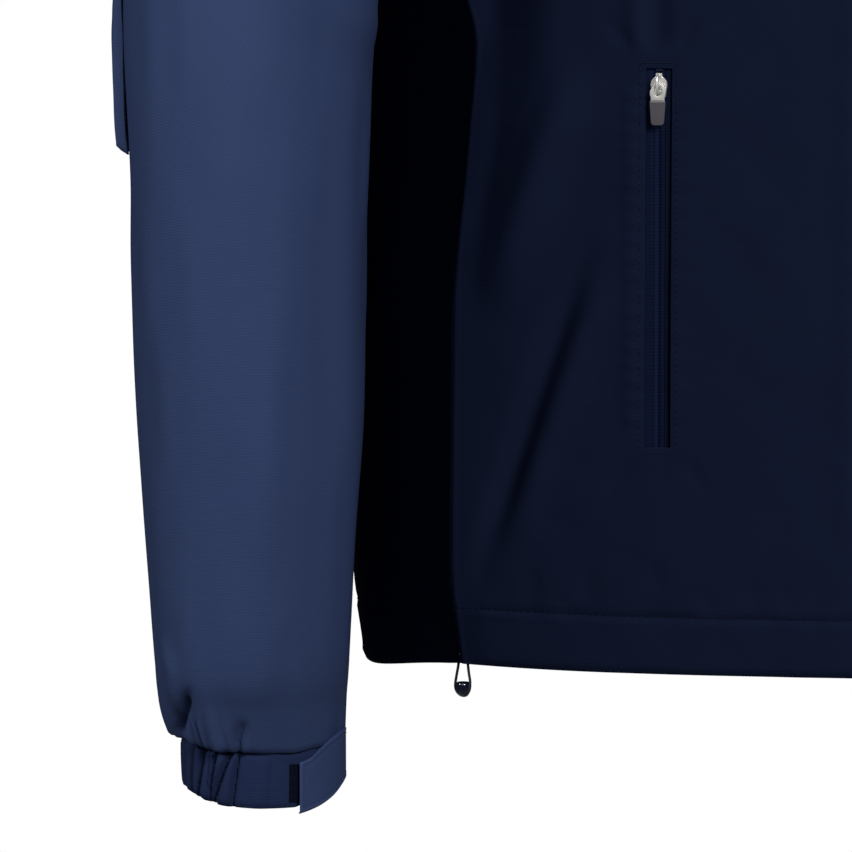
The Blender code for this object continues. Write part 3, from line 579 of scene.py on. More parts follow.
CUFF_C, CUFF_A, CUFF_B = (.3144, -.048), .0392, .0385
SOFT = []
def piece(name, P, mat, body, nodes=(), t=.0011, closed=False, hole=None, centre=None, declare=True, uv=None):
    """Cloth from a grid, turned to face away from centre(P), riding on a body given by name (a body given any other way
    leaves the piece baked in place) and listed in SOFT as a sheet.
    """
    N = normals_of(P, closed)
    c = centre(P) if callable(centre) else np.asarray(centre, float)
    sgn = 1 if ((P - c) * N).sum() >= 0 else -1
    ob = cloth(name, P, mat, t, closed, hole, sgn, uv)
    if isinstance(body, str):
        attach(ob, body)
    else:
        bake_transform(ob)
    if nodes:
        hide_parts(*nodes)
    if declare:
        Q = np.concatenate([P, P[:, :1]], 1) if closed else P
        wid = float(np.linalg.norm(np.diff(Q, axis=1), axis=-1).sum(1).max())
        lng = float(np.linalg.norm(np.diff(Q, axis=0), axis=-1).sum(0).max())
        a = .5 * np.linalg.norm(np.cross(Q[1:, 1:] - Q[:-1, :-1], Q[1:, :-1] - Q[:-1, 1:]), axis=-1)
        if hole is not None:
            for j in range(a.shape[0]):
                for i in range(a.shape[1]):
                    if hole(j, i):
                        a[j, i] = 0
        a = float(a.sum())
        k = max(1.0, math.sqrt(a / (wid * lng)) * 1.0005)
        wid, lng = max(wid * k, .0101), max(lng * k, .0101)
        a = min(max(a, .31 * wid * lng), wid * lng)
        SOFT.append((name, wid, lng, a))
    return ob

def rider(ob, body, nodes=()):
    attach(ob, body)
    if nodes:
        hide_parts(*nodes)
    return ob

def flipx(P, sx):
    Q = np.array(P, float)
    Q[..., 0] *= sx
    return Q

def torso_centre(P):
    c = np.array(P, float)
    c[..., 0] = 0
    c[..., 1] = -.01
    c[..., 2] = np.minimum(P[..., 2], .55)
    return c

def fold(x, h, pts, w, amp, edge=False, ends=.18):
    """One crease laid along a polyline of (x, h): ridge where amp is positive, valley where negative, step where edge."""
    pts = np.asarray(pts, float)
    seg = np.linalg.norm(np.diff(pts, axis=0), axis=1)
    L = np.concatenate([[0], np.cumsum(seg)])
    best, sg, tt = np.full(x.shape, 9.0), np.zeros(x.shape), np.zeros(x.shape)
    for k in range(len(seg)):
        a, d = pts[k], pts[k + 1] - pts[k]
        t = np.clip(((x - a[0]) * d[0] + (h - a[1]) * d[1]) / seg[k] ** 2, 0, 1)
        qx, qh = x - (a[0] + d[0] * t), h - (a[1] + d[1] * t)
        dist = np.hypot(qx, qh)
        m = dist < best
        best = np.where(m, dist, best)
        sg = np.where(m, np.sign(d[0] * qh - d[1] * qx), sg)
        tt = np.where(m, (L[k] + seg[k] * t) / L[-1], tt)
    taper = ss(tt / ends) * ss((1 - tt) / ends)
    if edge:
        z = sg * best / w
        return amp * taper * z * np.exp(.5 - .5 * z * z)
    return amp * taper * np.exp(-(best / w) ** 2)

# ------------------------------------------------------------------ body panels
F = .9888
ZX0, ZX1 = ZIP_X - ZIP_HALF * F, ZIP_X + ZIP_HALF * F

def front_relief(P, fine):
    """How far the front cloth stands off its smooth form: folds, puckers at the pocket zip, hem roll."""
    x, h = np.abs(P[..., 0]), P[..., 2]
    s = .0 if fine else 3.7
    d = .0011 * vnoise(np.stack([x * 1.0 + s, x * 0 + s, h * .6], -1), 16, 1)
    d += .0005 * vnoise(np.stack([x + s, x * 0, h], -1), 55, 2)
    # long drag lines from the chest towards the side
    d += fold(x, h, [(.1437, .2231), (.1634, .1667), (.1832, .1076), (.2084, .0329)], .0070, -.0050, ends=.35)
    d += fold(x, h, [(.1340, .2100), (.1540, .1600), (.1720, .1076), (.1930, .0400)], .0090, .0034, ends=.35)
    d += fold(x, h, [(.1611, .3129), (.1835, .2637), (.1935, .2292), (.2162, .1745)], .0130, -.0030, edge=True, ends=.3)
    d += fold(x, h, [(.1487, .2985), (.1695, .2543), (.1834, .2100), (.1983, .1656)], .0110, .0048, ends=.35)
    d += fold(x, h, [(.2050, .3600), (.2100, .2700), (.2190, .1900)], .0120, -.0012)
    # column above the pocket and the creases that run off the zip's ends
    d += fold(x, h, [(.1167, .4000), (.1167, .3000)], .0062, -.0022, ends=.1)
    d += fold(x, h, [(.1290, .3500), (.1262, .2990)], .0040, .0014)
    d += fold(x, h, [(.1235, .2985), (.1437, .3200)], .0034, -.0011, ends=.45)
    d += fold(x, h, [(.1084, .2990), (.0947, .3233)], .0034, -.0010, ends=.45)
    d += fold(x, h, [(.1225, .1090), (.1436, .0845)], .0034, -.0012, ends=.45)
    d += fold(x, h, [(.1059, .1085), (.0874, .0855)], .0038, -.0009, ends=.45)
    d += fold(x, h, [(.1290, .2900), (.1286, .1120)], .0034, .0010, ends=.06)
    # puckers where the zip gathers the cloth a little
    side = np.exp(-((x - ZX1 - .0055) / .0042) ** 2) * ss((h - ZIP_LOW) / .01) * ss((ZIP_HIGH - h) / .01)
    d += side * .00055 * np.sin(2 * np.pi * h / .0087 + 1.4 * vnoise(np.stack([x * 0, x * 0, h], -1), 60, 4))
    inner = np.exp(-((x - ZX0 + .0050) / .0040) ** 2) * ss((h - ZIP_LOW) / .01) * ss((ZIP_HIGH - h) / .01)
    d += inner * .00030 * np.sin(2 * np.pi * h / .0125 + 1.4 * vnoise(np.stack([x * 0, x * 0, h], -1), 50, 5))
    # turned and stitched edge of the pocket's window
    dx = np.maximum(np.maximum(ZX0 - x, x - ZX1), 0)
    dh = np.maximum(np.maximum(ZIP_LOW - h, h - ZIP_HIGH), 0)
    q = np.hypot(dx, dh)
    d += .00045 * (1 - ss((q - .0022) / .0016)) - .00030 * np.exp(-((q - .0026) / .0006) ** 2)
    d -= .0007 * (1 - ss(q / .0012))
    # soft band beside the centre front, and puckers above the hem
    d += fold(x, h, [(.0243, .36), (.0243, .0373)], .0060, .0009)
    for a in ([(.1166, .0600), (.1150, .0340)], [(.0694, .0500), (.0675, .0300)], [(.0519, .0480), (.0529, .0300)],
              [(.1480, .0520), (.1500, .0300)], [(.0900, .0440), (.0905, .0290)], [(.1750, .0540), (.1790, .0290)]):
        d += fold(x, h, a, .0046, -.0008, ends=.45)
    hemf = np.exp(-((h - HEM_DEPTH) / .0045) ** 2)
    d += hemf * .00080 * vnoise(np.stack([x, x * 0, h * .1], -1), 95, 7)
    d += .0010 * (1 - ss((h - HEM_DEPTH + .002) / .002)) * ss(h / .004) - .00090 * np.exp(-((h - HEM_DEPTH) / .0009) ** 2)
    d += .0007 * np.exp(-(h / .02) ** 2) * vnoise(np.stack([x, x * 0, h * .3], -1), 38, 8)
    d -= .0010 * (1 - ss(h / .0016))
    d *= ss((x - CF) / .002) * .92 + .08
    return d

def side_relief(P, H):
    """Relief of the body behind the side seam and round the back."""
    x, h = P[..., 0], P[..., 2]
    a = np.arctan2(P[..., 0], P[..., 1] + .01)
    q = np.stack([a * .25, a * 0, h * .55], -1)
    d = .0016 * vnoise(q, 15, 11) + .0008 * vnoise(q, 36, 12)
    for sx in (-1, 1):
        xs_ = x * sx
        side = ss((xs_ - .18) / .03)
        d += side * fold(xs_, h, [(.2457, .0580), (.2443, .0244), (.2434, -.0007)], .0022, -.0018)
        d += side * fold(xs_, h, [(.2530, .2600), (.2500, .1500), (.2560, .0500)], .0065, -.0024)
        d += side * fold(xs_, h, [(.2300, .3000), (.2341, .0898), (.2394, .0300)], .0075, .0018)
    d += .0006 * (1 - ss((H - HEM_DEPTH + .002) / .002)) * ss(H / .004) - .00050 * np.exp(-((H - HEM_DEPTH) / .0008) ** 2)
    d += np.exp(-((H - HEM_DEPTH) / .006) ** 2) * .0006 * vnoise(np.stack([a * .25, a * 0, H * .1], -1), 90, 13)
    d -= .0010 * (1 - ss(H / .0016))
    return d

def seam_dip(x, h):
    """The cloth falls back under the arm, behind the long fold that runs from the chest to the side seam."""
    line = np.interp(h, [.1745, .2292, .2637, .3129, .40], [.2162, .1935, .1835, .1640, .150])
    return -.0130 * ss((np.abs(x) - line) / .045) * ss((h - .15) / .05) * ss((.415 - h) / .06)

def edge_roll(P, end_col=-1, depth=.0012, width=.0030):
    """Tucks the last columns under so that two panels meet in a sewn seam."""
    s = np.cumsum(np.linalg.norm(np.diff(P[:, ::-1], axis=1), axis=-1), 1)
    s = np.concatenate([np.zeros((P.shape[0], 1)), s], 1)[:, ::-1]
    return -depth * (1 - ss(s / width)) + .00035 * np.exp(-((s - width * 1.1) / .0012) ** 2)

def up_ts(n):
    u = np.linspace(0, 1, n + 1)[1:]
    return 1 - (1 - u) ** 1.5

def half_rows(back, xs, n2, hs, n_t):
    rows = []
    for kind, v in [("h", h) for h in hs] + [("t", t) for t in up_ts(n_t)]:
        phis = np.linspace(180, 40, 1700) if back else np.linspace(0.0, 100, 1500)
        C = row_curve(kind, v, phis, back)
        g = ((C[:, 1] - ARM_Y) / ARM_RY) ** 2 + ((C[:, 2] - ARM_H) / ARM_RH) ** 2 - 1
        inside = np.where((g < 0) & (C[:, 0] > .12))[0]
        if kind == "h":
            ph = float(seam_phi(v))
            k = int(np.argmax(phis < ph)) if back else int(np.argmax(phis > ph))
            f = (ph - phis[k - 1]) / (phis[k] - phis[k - 1])
        else:
            k = int(np.argmax(phis < 90)) if back else int(np.argmax(phis > 90))
            f = (90 - phis[k - 1]) / (phis[k] - phis[k - 1])
        if len(inside) and inside[0] < k:
            k = inside[0]
            f = g[k - 1] / (g[k - 1] - g[k])
        C = np.vstack([C[:k], C[k - 1] + (C[k] - C[k - 1]) * f])
        first = np.stack([np.interp(xs, C[:, 0], C[:, c]) for c in range(3)], -1)
        ri = np.where(C[:, 0] > xs[-1])[0]
        rest = np.vstack([first[-1], C[ri[0]:]]) if len(ri) else np.vstack([first[-1], C[-1]])
        rows.append(np.vstack([first[:-1], resample(rest, n2)]))
    return np.array(rows)

for tag, sx in (("right", -1), ("left", 1)):
    fine = sx < 0 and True
    st = .0025 if fine else .0048
    seg = lambda a, b: np.linspace(a, b, max(2, int(round((b - a) / st)) + 1))
    xs = np.concatenate([seg(CF, ZX0), seg(ZX0, ZX1)[1:], seg(ZX1, .150)[1:]])
    hs = np.concatenate([np.linspace(0, .028, 15 if fine else 8), seg(.028, ZIP_LOW)[1:], seg(ZIP_LOW, ZIP_HIGH)[1:], seg(ZIP_HIGH, CHEST_H)[1:]])
    P = half_rows(False, xs, 56 if fine else 28, hs, 84 if fine else 44)
    P = flipx(P, sx)
    N = normals_of(P)
    if ((P - torso_centre(P)) * N).sum() < 0:
        N = -N
    gap = np.linalg.norm(P - P[:, -1:], axis=-1)
    relief = front_relief(P, sx < 0) * ss(gap / .022) + edge_roll(P) + seam_dip(P[..., 0], P[..., 2])
    P = P + N * relief[..., None]
    j0, j1 = int(np.argmin(abs(hs - ZIP_LOW))), int(np.argmin(abs(hs - ZIP_HIGH)))
    i0, i1 = int(np.argmin(abs(xs - ZX0))), int(np.argmin(abs(xs - ZX1)))
    hole = lambda j, i: j0 <= j < j1 and i0 <= i < i1
    piece(tag + "_front_cloth", P, M_DARK, "jacket", (tag + "_front_panel",), hole=hole, centre=torso_centre)
    # hem stitching and the topstitching round the window
    N = normals_of(P)
    if ((P - torso_centre(P)) * N).sum() < 0:
        N = -N
    jr = int(np.argmin(abs(hs - HEM_DEPTH)))
    rider(stitches(tag + "_front_hem_stitching", P[jr, 2:-1], N[jr, 2:-1], M_THREAD), "jacket")
    def on_panel(x, h):
        jj = np.interp(h, hs, np.arange(len(hs)))
        ii = np.interp(x, xs, np.arange(len(xs)))
        a, b = int(min(jj, len(hs) - 2)), int(min(ii, len(xs) - 2))
        fj, fi = jj - a, ii - b
        f = lambda G: (G[a, b] * (1 - fj) + G[a + 1, b] * fj) * (1 - fi) + (G[a, b + 1] * (1 - fj) + G[a + 1, b + 1] * fj) * fi
        return f(P), f(N)
    m = .0026
    loop = []
    for (xa, ha), (xb, hb) in (((ZX0 - m, ZIP_LOW - m), (ZX0 - m, ZIP_HIGH + m)), ((ZX0 - m, ZIP_HIGH + m), (ZX1 + m, ZIP_HIGH + m)),
                               ((ZX1 + m, ZIP_HIGH + m), (ZX1 + m, ZIP_LOW - m)), ((ZX1 + m, ZIP_LOW - m), (ZX0 - m, ZIP_LOW - m))):
        for k in range(60):
            loop.append(on_panel(xa + (xb - xa) * k / 60, ha + (hb - ha) * k / 60))
    rider(stitches(tag + "_window_stitching", [a for a, _ in loop], [b for _, b in loop], M_THREAD, .0024, .0008), "jacket")

st = .0046
xs = np.linspace(0, .150, int(.150 / st) + 1)
hs = np.concatenate([np.linspace(0, .028, 9), np.linspace(.028, CHEST_H, int(.41 / st) + 1)[1:]])
P = half_rows(True, xs, int(.20 / st), hs, 46)
P = np.concatenate([flipx(P[:, ::-1], -1), P[:, 1:]], 1)
N = normals_of(P)
if ((P - torso_centre(P)) * N).sum() < 0:
    N = -N
rl = edge_roll(P) + edge_roll(P[:, ::-1])[:, ::-1]
HN = np.concatenate([hs, np.linspace(.45, .7, P.shape[0] - len(hs))])[:, None] * np.ones(P.shape[:2])
gap = np.minimum(np.linalg.norm(P - P[:, -1:], axis=-1), np.linalg.norm(P - P[:, :1], axis=-1))
dip = seam_dip(P[:, -1:, 0], P[:, -1:, 2]) * (1 - ss(gap / .050))
P = P + N * (side_relief(P, HN) + rl + dip)[..., None]
piece("back_cloth", P, M_DARK, "jacket", ("back_panel",), centre=torso_centre)
jr = int(np.argmin(abs(hs - HEM_DEPTH)))
rider(stitches("back_hem_stitching", P[jr, 2:-2], N[jr, 2:-2], M_THREAD, .0030, .0012), "jacket")

# ------------------------------------------------------------------ sleeves
RINGS = np.array([[a[0], a[1], b[0], b[1], c, d] for a, b, c, d in SLEEVE])
def ring_at(k, th):
    ox, oh, ix, ih, b, yc = RINGS[k]
    c, s = np.cos(th), np.sin(th)
    if k == 0:
        h, y = ARM_H + ARM_RH * c, ARM_Y - ARM_RY * s
        return np.stack([torso_x(y, h), y, h], -1)
    return np.stack([(ox + ix) / 2 + (ox - ix) / 2 * c, yc - b * s, (oh + ih) / 2 + (oh - ih) / 2 * c], -1)
N_R = len(SLEEVE) - 1
def sleeve(th, r):
    """th (any array) and r (same shape): 0 on the outer edge, 90 degrees at the front; r from the armhole down."""
    th, r = np.broadcast_arrays(np.asarray(th, float), np.asarray(r, float))
    out_ = np.zeros(th.shape + (3,))
    i = np.clip(np.floor(r).astype(int), 0, N_R - 1)
    for k in range(N_R):
        m = i == k
        if not m.any():
            continue
        t = (r[m] - k)[:, None]
        p1, p2 = ring_at(k, th[m]), ring_at(k + 1, th[m])
        p0 = p1 * 2 - p2 if k == 0 else ring_at(k - 1, th[m])
        p3 = ring_at(min(N_R, k + 2), th[m])
        out_[m] = .5 * ((2 * p1) + (p2 - p0) * t + (2 * p0 - 5 * p1 + 4 * p2 - p3) * t * t + (3 * p1 - p0 - 3 * p2 + p3) * t ** 3)
    return out_

def band_top(th):
    return -.0440 + .0035 * ss((np.cos(th) - .35) / .65)
def band_low(th):
    return -.0720 + .0060 * np.clip(np.cos(th), 0, 1) ** 3 + .0100 * ss((-np.cos(th) - .52) / .45)
LINES = [(-104, -106), (-88, -86), (-72, -75), (-56, -52), (-41, -43), (-25, -22), (-9, -6), (4, 7), (18, 23), (37.5, 32.5), (49.5, 40), (55, 48.5),
         (61, 52), (73, 56), (79.4, 73), (90, 86), (104, 101)]
def gather(th, k):
    """Pillowed gathers between the creases round the outer side of the cuff; k is 0 at the seam and 1 at the lower edge."""
    deg = (np.degrees(th) + 180) % 360 - 180
    d = np.zeros(deg.shape)
    for (a0, a1), (b0, b1) in zip(LINES, LINES[1:]):
        a, b = a0 + (a1 - a0) * k, b0 + (b1 - b0) * k
        w = np.maximum(b - a, .5)
        t = (deg - a) / w
        m = (t >= 0) & (t < 1)
        fade = 1 if b0 < 80 else .25
        d = np.where(m, fade * np.minimum(1, w / 9.5) * .0032 * np.clip(np.sin(np.pi * np.clip(t, 0, 1)), 0, 1) ** .60, d)
    return d
def cuff_relief(th, k):
    deg = (np.degrees(th) + 180) % 360 - 180
    d = gather(th, k) * (.35 + .65 * ss(k / .12) * ss((1 - k) / .10)) - .0026 * ss((np.cos(th) + .12) / .4)
    for a, b, w, amp in ((49.5, 40, 2.0, .0034), (73, 56, 2.1, .0026), (37.5, 32.5, 1.7, .0022), (61, 52, 1.5, .0020), (79.4, 73, 1.3, .0016), (18, 23, 1.8, .0020), (4, 7, 2.0, .0015)):
        d -= amp * np.exp(-((deg - (a + (b - a) * k)) / w) ** 2)
    return d

def sleeve_relief(th, r, P, right):
    deg = (np.degrees(th) + 180) % 360 - 180
    s = P[..., 2]
    seed = 0 if right else 9
    q = np.stack([np.cos(th) * .09, np.sin(th) * .09, s * .42], -1)
    d = .0019 * vnoise(q, 18, 21 + seed) + .0009 * vnoise(q, 40, 22 + seed)
    # folds that stack above the cuff
    low = 1 - ss((s + .042) / .050)
    d += low ** 2 * gather(th, 0 * th) * 1.25 * (.4 + .6 * ss((N_R - r) * 4))
    u = deg / 57.3 * .05
    for a, w, amp in (([(.0500, -.0080), (.0440, -.0200), (.0340, -.0320), (.0200, -.0430)], .0030, -.0060), ([(.030, .0160), (.036, -.0050), (.030, -.0300)], .0055, .0022),
                      ([(.0790, -.0240), (.0730, -.0350), (.0665, -.0450)], .0024, -.0030), ([(.012, .0200), (.020, -.0400)], .0050, -.0018),
                      ([(.105, .0300), (.098, -.0300)], .0070, -.0010), ([(-.020, .0200), (-.010, -.0400)], .0050, -.0018),
                      ([(-.050, .0200), (-.045, -.0400)], .0050, -.0016), ([(.050, .30), (.062, .18), (.058, .07)], .0110, -.0013),
                      ([(.104, .26), (.098, .14), (.090, .02)], .0100, .0010), ([(.125, .31), (.118, .19), (.124, .06)], .0085, -.0014),
                      ([(-.06, .30), (-.075, .15)], .0110, -.0015), ([(-.10, .26), (-.09, .05)], .0110, .0012)):
        d += fold(u, s, a, w, amp, ends=.38)
    # elbow and underarm
    d += .0022 * np.sin(r * 5.1) * np.exp(-((deg - 150) / 45) ** 2) * ss((6.5 - r) / 2)
    return d

for tag, sx in (("right", -1), ("left", 1)):
    right = sx < 0
    nth = 150 if right else 92
    th = np.linspace(0, 2 * np.pi, nth, endpoint=False)
    def grid(r_list):
        T, R = np.meshgrid(th, r_list)
        P = sleeve(T, np.minimum(R, N_R))
        C = P.mean(1, keepdims=True)
        N = normals_of(P, True)
        if ((P - C) * N).sum() < 0:
            N = -N
        d = sleeve_relief(T, R, P, right) * ss(R / .5)
        # the cap puffs a little out of the armhole seam
        d += .0018 * np.exp(-((R - .42) / .30) ** 2) - .0032 * (1 - ss(R / .10))
        # tuck into the cuff seam
        d -= .0012 * (1 - ss((N_R - R) / .12))
        P = P + N * d[..., None]
        k = ss((R - N_R + .9) / .9)[..., None]
        lowh = P[..., 2:3] + (band_top(T)[..., None] + .0022)
        P[..., 2:3] += k * (band_top(T)[..., None] + .0418)
        return flipx(P, sx)
    n1, n2 = (60, 190) if right else (34, 96)
    r1 = np.concatenate([np.linspace(.002, .5, 14 if right else 9), np.linspace(.5, 5.0, n1)[1:]])
    seglen = np.concatenate([[0], np.cumsum([np.linalg.norm(sleeve(np.array([1.57]), np.array([a + .1]))[0] - sleeve(np.array([1.57]), np.array([a]))[0])
                                              for a in np.arange(5.0, N_R, .1)])])
    r2 = np.interp(np.linspace(0, seglen[-1], n2), seglen, np.append(np.arange(5.0, N_R, .1), N_R))
    S1, S2 = grid(r1), grid(r2)
    cen = lambda P: P.mean(1, keepdims=True)
    full = np.concatenate([S1[:-1], S2])
    uv = uv_of(full, True)
    n = len(r1)
    A = W((sx * .2222, -.0475, .640))
    # a0 and a1 mark a line at the foot of the armhole that leans down and out, where the cloth would turn towards the
    # sleeve's own fifth ring; piece only bakes the upper sleeve in place, so it doesn't bend there
    nrm = np.array([sx * .9903, 0, -.1392])
    a0 = np.array([sx * .236, -.0475, .410]) + nrm * .0005
    a1 = np.array([sx * .236, -.0475, .410]) + nrm * .0310
    arm = tag + "_arm"
    top = piece(tag + "_sleeve_top", S1, M_NAVY, ("jacket", arm, W(a0), W(a1)), (), closed=True, centre=cen, uv=uv[:n])
    low = piece(tag + "_sleeve_lower", S2, M_NAVY, arm, (tag + "_sleeve",), closed=True, centre=cen, uv=uv[n - 1:])
    # rolled seam round the armhole
    ring = flipx(sleeve(np.linspace(0, 2 * np.pi, 90, endpoint=False), np.full(90, .02)), sx)
    rider(tube_mesh(tag + "_armhole_seam", ring, .0011, M_DARK, 8, closed=True), "jacket")

    # ---- cuff band, tab, patches, elastic
    nb = 220 if right else 120
    tb = np.linspace(0, 2 * np.pi, nb, endpoint=False)
    T, K = np.meshgrid(tb, np.linspace(0, 1, 15))
    def cuff_at(T, K, d):
        hh = band_top(T) + (band_low(T) - band_top(T)) * K
        a, b = CUFF_A + d, CUFF_B + d
        return np.stack([CUFF_C[0] + (a - .0006 * K) * np.cos(T), CUFF_C[1] - (b - .0006 * K) * np.sin(T), hh], -1)
    d = cuff_relief(T, K) - .0011 * (1 - ss(K / .07)) - .0010 * (1 - ss((1 - K) / .06)) + .0004 * np.sin(np.pi * K)
    B = flipx(cuff_at(T, K, d), sx)
    # The cuff band takes the darkened navy: its own darker tone plus painted shade from the sleeve above it.
    piece(tag + "_cuff_cloth", B, M_CUFF_TONE_AND_SHADE, arm, (tag + "_cuff_band",), t=.0013, closed=True, centre=cen)
    ctr = lambda P: np.stack([np.full(P.shape[:-1], sx * CUFF_C[0]), np.full(P.shape[:-1], CUFF_C[1]), P[..., 2]], -1)
    T, K = np.meshgrid(np.radians(np.linspace(-95, 65, 40)), np.linspace(.25, .8, 6))
    piece(tag + "_elastic_band", flipx(cuff_at(T, K, cuff_relief(T, K) - .0024), sx), M_ELASTIC, arm, (tag + "_cuff_elastic",),
          t=.0010, centre=ctr)
    T, K = np.meshgrid(np.radians(np.linspace(168, 116.8, 34)), np.linspace(.22, .88, 16))
    LP = cuff_at(T, K, .0014 + .00012 * vnoise(np.stack([T * 40, K * 22, T * 0], -1), 1.0, 31))
    piece(tag + "_loop_strip", flipx(LP, sx), M_LOOP, arm, (tag + "_cuff_loop_patch",), t=.0009, centre=ctr)
    # tab: rooted on the body side, top edge hollow, free end square with a pointed lower corner
    tab_top = smooth_tab([(0, -.0358), (.25, -.0366), (.50, -.0392), (.70, -.0430), (.88, -.0476), (1.0, -.0490)])
    tab_low = smooth_tab([(0, -.0598), (.25, -.0640), (.50, -.0688), (.80, -.0726), (1.0, -.0745)])
    def tab_at(u, v, d):
        T = np.radians(178 - 55.5 * u)
        hh = tab_top(u) + (tab_low(u) - tab_top(u)) * v
        a, b = CUFF_A + d, CUFF_B + d
        return np.stack([CUFF_C[0] + a * np.cos(T), CUFF_C[1] - b * np.sin(T), hh], -1)
    U, V = np.meshgrid(np.linspace(0, 1, 61), np.linspace(0, 1, 31))
    e = np.minimum(np.minimum(V, 1 - V) * .026, (1 - U) * .045)
    dt = .0040 - .0010 * (1 - ss(e / .0011)) + .00030 * ss((e - .0012) / .0010) * 0 + .0002 * vnoise(np.stack([U * 3, V * 1.5, U * 0], -1), 1.4, 41)
    dt += .00028 * np.exp(-((e - .0009) / .0007) ** 2) - .00030 * np.exp(-((e - .0024) / .0004) ** 2)
    dt -= .0006 * (1 - ss(U / .10)) - .0004
    tabP = flipx(tab_at(U, V, dt), sx)
    piece(tag + "_tab_cloth", tabP, M_NAVY, tag + "_tab", (tag + "_cuff_tab",), t=.0013, centre=ctr)
    path = [(u, .0024 / .022) for u in np.linspace(.02, .945, 40)] + [(.945, v) for v in np.linspace(.12, .88, 18)] + [(u, 1 - .0024 / .022) for u in np.linspace(.945, .02, 40)]
    pu, pv = np.array([a for a, _ in path]), np.array([b for _, b in path])
    pp = tab_at(pu, pv, .0040)
    nn = pp - np.stack([np.full(len(pu), CUFF_C[0]), np.full(len(pu), CUFF_C[1]), pp[:, 2]], -1)
    rider(stitches(tag + "_tab_stitching", flipx(pp, sx), flipx(nn, sx), M_THREAD_L, .0023, .0008, .0002), tag + "_tab")
    U, V = np.meshgrid(np.linspace(.45, .94, 24), np.linspace(.14, .86, 14))
    piece(tag + "_hook_strip", flipx(tab_at(U, V, .0024), sx), M_LOOP, tag + "_tab", (tag + "_cuff_hook_patch",), t=.0006, centre=ctr)

# ------------------------------------------------------------------ sleeve pocket and its flap
def outside(u, v, ya, yb, r0, r1, d):
    """Outer side of the right sleeve; u runs front to back, v downwards."""
    r = r0 + (r1 - r0) * v
    yv = ya + (yb - ya) * u
    b = np.interp(r, np.arange(len(SLEEVE)), RINGS[:, 4])
    th = np.arcsin(np.clip(-yv / b, -1, 1))
    p = sleeve(th, r)
    e = .01
    n = np.cross(sleeve(th + e, r) - sleeve(th - e, r), sleeve(th, r + e) - sleeve(th, r - e))
    n /= np.linalg.norm(n, axis=-1, keepdims=True)
    n = np.where(n[..., :1] < 0, -n, n)
    return flipx(p + n * np.asarray(d)[..., None], -1)
inward = lambda P: np.stack([np.full(P.shape[:-1], -.32), np.full(P.shape[:-1], -.048), P[..., 2]], -1)
U, V = np.meshgrid(np.linspace(0, 1, 61), np.linspace(0, 1, 81))
e = np.minimum(np.minimum(U, 1 - U) * .066, np.minimum(V + .06, 1 - V) * .155)
rise = .10 + .90 * ss((V - .22) / .45)
d = .0010 + (.0048 * ss(e / .0034) + .0006 * ss((e - .004) / .02)) * rise + .0004 * vnoise(np.stack([U * 5, V * 8, U * 0], -1), 1.0, 51)
d -= .00030 * np.exp(-((e - .0052) / .0006) ** 2)
SP = outside(U, V, -.014, .052, 5.12, 6.78, d)
piece("sleeve_pocket_cloth", SP, M_NAVY, "right_arm", ("right_sleeve_pocket",), t=.0011, centre=inward)
U, V = np.meshgrid(np.linspace(0, 1, 61), np.linspace(0, 1, 31))
e = np.minimum(np.minimum(U, 1 - U) * .069, (1 - V) * .055)
d = .0084 - .0009 * (1 - ss(e / .0012)) - .0003 * np.exp(-((e - .0030) / .0005) ** 2) - .0046 * (1 - ss(V / .12))
FP = outside(U, V, -.0155, .0535, 5.02, 5.62, d)
piece("pocket_flap_cloth", FP, M_NAVY, "pocket_flap", ("right_sleeve_pocket_flap",), t=.0012, centre=inward)

# ------------------------------------------------------------------ collar
def collar(psi, v, d=0.0, side=1):
    s, c = np.sin(np.radians(psi)), np.cos(np.radians(psi))
    x = NECK_X * np.abs(s) ** (2 / N_BODY)
    c = np.sign(c) * np.abs(c) ** (2 / N_BODY)
    hb = np.where(psi > 90, .667 + .018 * (x / NECK_X) ** 2, .600 + .085 * (x / NECK_X) ** 2.4) + .0012
    f = s_fac(x, np.minimum(hb, shoulder_h(x) - .0008))
    prof = (1 - (x / .232) ** N_BODY) ** (1 / N_BODY)
    yb = np.where(c >= 0, mid_y(hb) - df(hb) * prof * f, mid_y(hb) + db(hb) * prof * f)
    ym = mid_y(.685)
    k = .5 - .5 * np.cos(np.radians(psi))
    ht = .690 + .058 * k
    yt = np.where(c >= 0, FRONT_Y + (ym + .002 - FRONT_Y) * (1 - c), ym + .002 + (.040 - ym) * -c)
    w = v * v * (3 - 2 * v) * .3 + v * .7
    P = np.stack([x * (1 - .06 * w), yb + (yt - yb) * w, hb + (ht - hb) * v], -1)
    r = P - np.stack([P[..., 0] * 0, P[..., 0] * 0 + ym, P[..., 2]], -1)
    r /= np.maximum(np.linalg.norm(r, axis=-1, keepdims=True), 1e-9)
    kk = np.clip(psi / 25, 0, 1)[..., None]
    nd = np.array([0, -1.0, 0]) * (1 - kk) + r * kk
    nd /= np.linalg.norm(nd, axis=-1, keepdims=True)
    P = P - nd * np.asarray(d)[..., None]
    return P * np.stack([side, side * 0 + 1, side * 0 + 1], -1)
PS0 = math.degrees(math.asin((.012 / NECK_X) ** (N_BODY / 2)))
def collar_grid(v0, v1, ps0, nu, nv, dfn):
    U, V = np.meshgrid(np.linspace(0, 1, nu), np.linspace(v0, v1, nv))
    k = np.abs(U - .5) * 2
    psi = 180 - (180 - ps0) * k
    return collar(psi, V, dfn(psi, V), np.where(U >= .5, 1.0, -1.0))
def outer_d(psi, v):
    d = -.0012 * ss((psi - 40) / 60) * np.sin(np.pi * np.clip(v, 0, 1)) - .0007 * np.sin(psi * .21) * np.sin(np.pi * v) * ss(psi / 40)
    d += .0010 * (1 - ss((1 - v) / .05)) + .0010 * (1 - ss((v - .01) / .05))
    d += .0004 * np.exp(-((v - .93) / .012) ** 2) + .0005 * np.exp(-((v - .10) / .012) ** 2)
    return d
rc = lambda P: np.stack([P[..., 0] * 0, P[..., 0] * 0 + float(mid_y(.685)), P[..., 2]], -1)
CO = collar_grid(.004, 1, PS0, 171, 37, outer_d)
